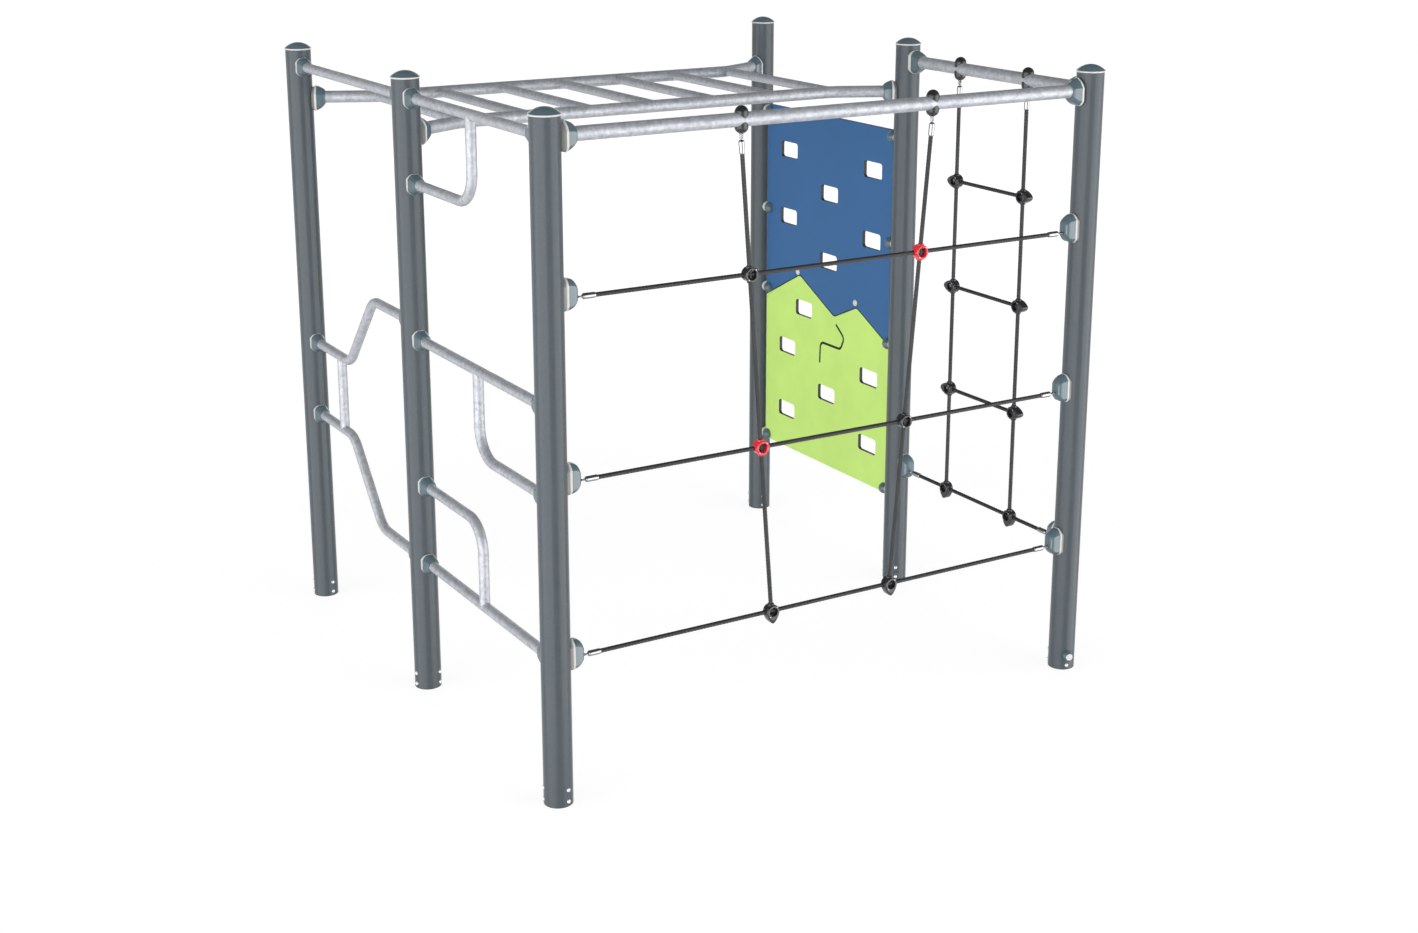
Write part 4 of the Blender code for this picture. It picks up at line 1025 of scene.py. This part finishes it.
def seam_strip(seam, thickness):
    """Thin near-black strip that closes the seam between the two sheets, painted shade for the shadow in
    the gap.
    """
    lower, upper = [(y, z - 0.004) for y, z in seam], [(y, z + 0.008) for y, z in seam[::-1]]
    strip = flat_plate(lower + upper, thickness)
    pulled_face(strip, strip.faces[:], (thickness, 0, 0))
    return finished(strip)


def make_panels(sizes):
    """Blue and green panels with their groove, clips and buttons."""
    bay, thickness = sizes.bay, sizes.panel_thickness
    rear, front = bay - PANEL_GAP, PANEL_GAP
    seam = [(rear, SEAM_REAR), *SEAM_CORNERS, (front, SEAM_FRONT)]
    at = Matrix.Translation((bay, 0.0, 0.0))
    blue = sheet_shape([(front, PANEL_TOP), (rear, PANEL_TOP)] + [(y, z + SEAM_GAP) for y, z in seam],
                       thickness, hole_places(0, 4))
    groove = swept_tube([(-thickness / 2, y, z) for y, z in GROOVE_LINE], 0.0056, 12, 0.026, 6)
    green = sheet_shape([(rear, PANEL_BOTTOM), (front, PANEL_BOTTOM)] + seam[::-1], thickness,
                        hole_places(6, 3) + [LONE_HOLE], groove)
    crease = math.radians(12)
    join("upper_sheet", [(blue, at, ["blue sheet", DARK_EDGE_AND_SEAM_SHADE])], ["blue_panel"], crease)
    # The seam strip is painted shade: a near-black sheet where the gap between the panels is in shadow
    join("lower_sheet", [(green, at, ["green sheet", DARK_EDGE_AND_SEAM_SHADE]), (seam_strip(seam, 0.004), at, DARK_EDGE_AND_SEAM_SHADE)],
         ["green_panel"], crease)
    make_clips(sizes)
    make_buttons(sizes)


def clip_shape():
    """Round clip of a panel's edge, built along Z, with its seam and two domes."""
    radius, flat, seam = 0.0250, 0.0080, 0.0009
    return turned(mirrored_profile([(radius - seam, 0.0004), (radius, 0.0008), *dome_profile(radius, flat),
                                    (0.0, flat + radius)]), CLIP_SIDES)


def make_clips(sizes):
    """Clips that hold the panels' edges to the posts, each on its light seat."""
    clip = clip_shape()
    seat = turned(rounded_profile([(0.0, 0.046), (0.0238, 0.046), (0.0238, 0.0590), (0.0225, 0.0605),
                                   (0.0, 0.0605)], 0.0012), CLIP_SIDES)
    across = Matrix.Rotation(QUARTER, 4, "Y")
    for name, facing, reach, heights in (("rear", FRONT, 0.085, (1.941, 1.488, 1.109, 0.391)),
                                         ("middle", REAR, 0.078, (1.942, 1.488, 1.046, 0.391))):
        shapes = []
        for height in heights:
            centre = from_post(sizes, f"{name}_right", facing, reach, height)
            post = from_post(sizes, f"{name}_right", facing, 0.0, height)
            shapes.append((clip, Matrix.Translation(centre) @ across, PLASTIC))
            shapes.append((seat, look_along(post, way(facing)), LIGHT_RIM))
        join(f"panel_clips_{name}", shapes)


def make_buttons(sizes):
    """Two domed screws on both faces of the panels, and three small dots on the inner face."""
    button = turned(rounded_profile([(0.0, 0.0085), (0.006, 0.0080), (0.0125, 0.0045), (0.0150, 0.0),
                                     (0.0, 0.0)], 0.002), 32)
    dot = turned(rounded_profile([(0.0, 0.0014), (0.0036, 0.0012), (0.0042, 0.0), (0.0, 0.0)], 0.0006), 20)
    screws = [(button, 0.780, 1.228), (button, 0.325, 1.175)]
    dots = [(dot, 0.985, 0.447), (dot, 0.906, 0.426), (dot, 0.829, 0.446)]
    shapes = []
    for outward, heads in ((-1, screws + dots), (1, screws)):
        x = sizes.bay + outward * sizes.panel_thickness / 2
        shapes += [(head, look_along((x, y, z), (outward, 0, 0)), WHITE) for head, y, z in heads]
    join("panel_buttons", shapes)


# Stage

CAMERA_RAYS, GLOSSY_RAYS, THROUGH_RAYS = "Is Camera Ray", "Is Glossy Ray", "Is Transmission Ray"
SKY_LEVEL = 0.42
OVERHEAD = 0.13                  # how bright reflections are overhead, where 1 is white
FLOOR_SIZE = 60.0
CAMERA_PLACE = (-3.79925, -6.55695, 3.178)
CAMERA_DIP, CAMERA_TURN = 0.2616, -0.5390
CAMERA_LENS, SENSOR_WIDTH = 49.977, 36.0


def soft_lamp(name, place, target, size, power):
    """Rectangular lamp that faces a point."""
    data = bpy.data.lights.new(name, "AREA")
    data.shape = "RECTANGLE"
    data.size, data.size_y = size
    data.energy = power
    lamp = bpy.data.objects.new(name, data)
    lamp.location = place
    lamp.rotation_mode = "QUATERNION"
    lamp.rotation_quaternion = (Vector(target) - Vector(place)).to_track_quat("-Z", "Y")
    bpy.context.scene.collection.objects.link(lamp)


def rays(tree, *kinds):
    """Return a socket that is 1 for rays of the given kinds."""
    path = tree.nodes.new("ShaderNodeLightPath")
    seen = path.outputs[kinds[0]]
    for kind in kinds[1:]:
        seen = calculate(tree, "MAXIMUM", seen, path.outputs[kind])
    return seen


def mixed(tree, share, first, second):
    """Mix two shaders."""
    return node(tree, "ShaderNodeMixShader", {0: share, 1: first.outputs[0], 2: second.outputs[0]})


def make_world():
    """White surroundings, a soft sky for the light, and reflections that grow darker overhead."""
    world = bpy.data.worlds.new("studio")
    bpy.context.scene.world = world
    world.use_nodes = True
    tree = world.node_tree
    tree.nodes.clear()
    coordinates = tree.nodes.new("ShaderNodeTexCoord")
    split = node(tree, "ShaderNodeSeparateXYZ", {0: coordinates.outputs["Generated"]})
    fade = mapped(tree, split.outputs["Z"], -0.02, 0.34, 1.0, OVERHEAD, interpolation_type="SMOOTHSTEP")
    shine = node(tree, "ShaderNodeCombineColor", {0: fade, 1: fade, 2: fade})
    light = node(tree, "ShaderNodeBackground", {"Color": (0.95, 0.98, 1.0, 1.0), "Strength": SKY_LEVEL})
    mirror = node(tree, "ShaderNodeBackground", {"Color": shine.outputs[0], "Strength": 1.0})
    white = node(tree, "ShaderNodeBackground", {"Color": (1.0, 1.0, 1.0, 1.0), "Strength": 1.0})
    glossy = mixed(tree, rays(tree, GLOSSY_RAYS), light, mirror)
    seen = mixed(tree, rays(tree, CAMERA_RAYS, THROUGH_RAYS), glossy, white)
    out = tree.nodes.new("ShaderNodeOutputWorld")
    tree.links.new(seen.outputs[0], out.inputs["Surface"])


def make_floor():
    """Wide pale floor that keeps the object's soft shadow."""
    shape = bmesh.new()
    bmesh.ops.create_grid(shape, x_segments=1, y_segments=1, size=FLOOR_SIZE)
    mesh = bpy.data.meshes.new("floor")
    shape.to_mesh(mesh)
    shape.free()
    material = bpy.data.materials.new("pale floor")
    material.use_nodes = True
    tree = material.node_tree
    tree.nodes.clear()
    plain = node(tree, "ShaderNodeBsdfDiffuse", {"Color": (0.80, 0.80, 0.80, 1.0)})
    shade = node(tree, "ShaderNodeBsdfDiffuse", {"Color": (0.22, 0.22, 0.22, 1.0)})
    place = tree.nodes.new("ShaderNodeTexCoord")
    away = node(tree, "ShaderNodeVectorMath", {0: place.outputs["Object"]}, operation="LENGTH")
    lift = mapped(tree, away.outputs["Value"], 2.0, 8.0, 0.86, 0.93, interpolation_type="SMOOTHSTEP")
    glow = node(tree, "ShaderNodeEmission", {"Color": (1.0, 1.0, 1.0, 1.0), "Strength": lift})
    shown = node(tree, "ShaderNodeAddShader", {0: shade.outputs[0], 1: glow.outputs[0]})
    both = mixed(tree, rays(tree, CAMERA_RAYS, GLOSSY_RAYS, THROUGH_RAYS), plain, shown)
    out = tree.nodes.new("ShaderNodeOutputMaterial")
    tree.links.new(both.outputs[0], out.inputs["Surface"])
    mesh.materials.append(material)
    floor = bpy.data.objects.new("floor", mesh)
    bpy.context.scene.collection.objects.link(floor)
    floor.visible_glossy = False


def make_camera():
    """Camera at the height and angle from which the climber is seen."""
    data = bpy.data.cameras.new("camera")
    data.sensor_width = SENSOR_WIDTH
    data.lens = CAMERA_LENS
    data.shift_x = 0.00473
    data.shift_y = -0.07638
    data.clip_end = 200.0
    camera = bpy.data.objects.new("camera", data)
    camera.location = CAMERA_PLACE
    camera.rotation_euler = (math.pi / 2 - CAMERA_DIP, 0.0, CAMERA_TURN)
    bpy.context.scene.collection.objects.link(camera)
    bpy.context.scene.camera = camera


def make_stage():
    """Floor, surroundings, lamps and camera."""
    make_world()
    make_floor()
    make_camera()
    soft_lamp("left lamp", (-11.4, -3.7, 0.0), (0.0, 0.0, 0.0), (20.0, 12.0), 2350.0)
    soft_lamp("right lamp", (7.3, -9.5, 0.0), (0.0, 0.0, 0.0), (13.0, 12.0), 1600.0)
    soft_lamp("rear lamp", (5.0, 12.0, 3.6), (0.0, 0.0, 1.2), (10.0, 6.0), 240.0)
    bpy.context.scene.view_settings.view_transform = "Standard"


# Operators

class CLIMBER_OT_materials(bpy.types.Operator):
    """Make the climber's finishes"""

    bl_idname = "climber.materials"
    bl_label = "Make finishes"

    def execute(self, context):
        make_materials(context.scene.climber_colours)
        return {"FINISHED"}


class CLIMBER_OT_posts(bpy.types.Operator):
    """Make the posts, their caps and their foot bolts"""

    bl_idname = "climber.posts"
    bl_label = "Make posts"

    def execute(self, context):
        make_posts(context.scene.climber_sizes)
        return {"FINISHED"}


class CLIMBER_OT_tubes(bpy.types.Operator):
    """Make the rails, the horizontal ladder and the bars"""

    bl_idname = "climber.tubes"
    bl_label = "Make tubes"

    def execute(self, context):
        make_tubes(context.scene.climber_sizes)
        return {"FINISHED"}


class CLIMBER_OT_brackets(bpy.types.Operator):
    """Make the brackets on the posts"""

    bl_idname = "climber.brackets"
    bl_label = "Make brackets"

    def execute(self, context):
        make_brackets(context.scene.climber_sizes)
        return {"FINISHED"}


class CLIMBER_OT_nets(bpy.types.Operator):
    """Make the wide and the narrow rope net"""

    bl_idname = "climber.nets"
    bl_label = "Make nets"

    def execute(self, context):
        make_front_net(context.scene.climber_sizes)
        make_side_net(context.scene.climber_sizes)
        return {"FINISHED"}


class CLIMBER_OT_panels(bpy.types.Operator):
    """Make the two panels with their clips and buttons"""

    bl_idname = "climber.panels"
    bl_label = "Make panels"

    def execute(self, context):
        make_panels(context.scene.climber_sizes)
        return {"FINISHED"}


class CLIMBER_OT_stage(bpy.types.Operator):
    """Make the floor, the lamps and the camera"""

    bl_idname = "climber.stage"
    bl_label = "Make stage"

    def execute(self, context):
        make_stage()
        return {"FINISHED"}


PIECE_OPERATORS = (
    CLIMBER_OT_materials, CLIMBER_OT_posts, CLIMBER_OT_tubes, CLIMBER_OT_brackets, CLIMBER_OT_nets,
    CLIMBER_OT_panels, CLIMBER_OT_stage,
)


class CLIMBER_PT_panel(bpy.types.Panel):
    """Sizes, colours and buttons of the climber"""

    bl_label = "Climber"
    bl_idname = "CLIMBER_PT_panel"
    bl_space_type = "VIEW_3D"
    bl_region_type = "UI"
    bl_category = "Climber"

    def draw(self, context):
        layout = self.layout
        for group in (context.scene.climber_sizes, context.scene.climber_colours):
            box = layout.box()
            for name in group.__annotations__:
                box.prop(group, name)
        for operator in PIECE_OPERATORS:
            layout.operator(operator.bl_idname)


CLASSES = (ClimberSizes, ClimberColours, *PIECE_OPERATORS, CLIMBER_PT_panel)


def register():
    """Register the classes and attach the settings to the scene."""
    for each in CLASSES:
        bpy.utils.register_class(each)
    bpy.types.Scene.climber_sizes = PointerProperty(type=ClimberSizes)
    bpy.types.Scene.climber_colours = PointerProperty(type=ClimberColours)


def unregister():
    """Remove the settings and the classes."""
    del bpy.types.Scene.climber_colours
    del bpy.types.Scene.climber_sizes
    for each in reversed(CLASSES):
        bpy.utils.unregister_class(each)


def main():
    """Make the whole climber and its stage."""
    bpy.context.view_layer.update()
    register()
    bpy.ops.climber.materials()
    bpy.ops.climber.posts()
    bpy.ops.climber.tubes()
    bpy.ops.climber.brackets()
    bpy.ops.climber.nets()
    bpy.ops.climber.panels()
    bpy.ops.climber.stage()


if __name__ == "__main__":
    main()
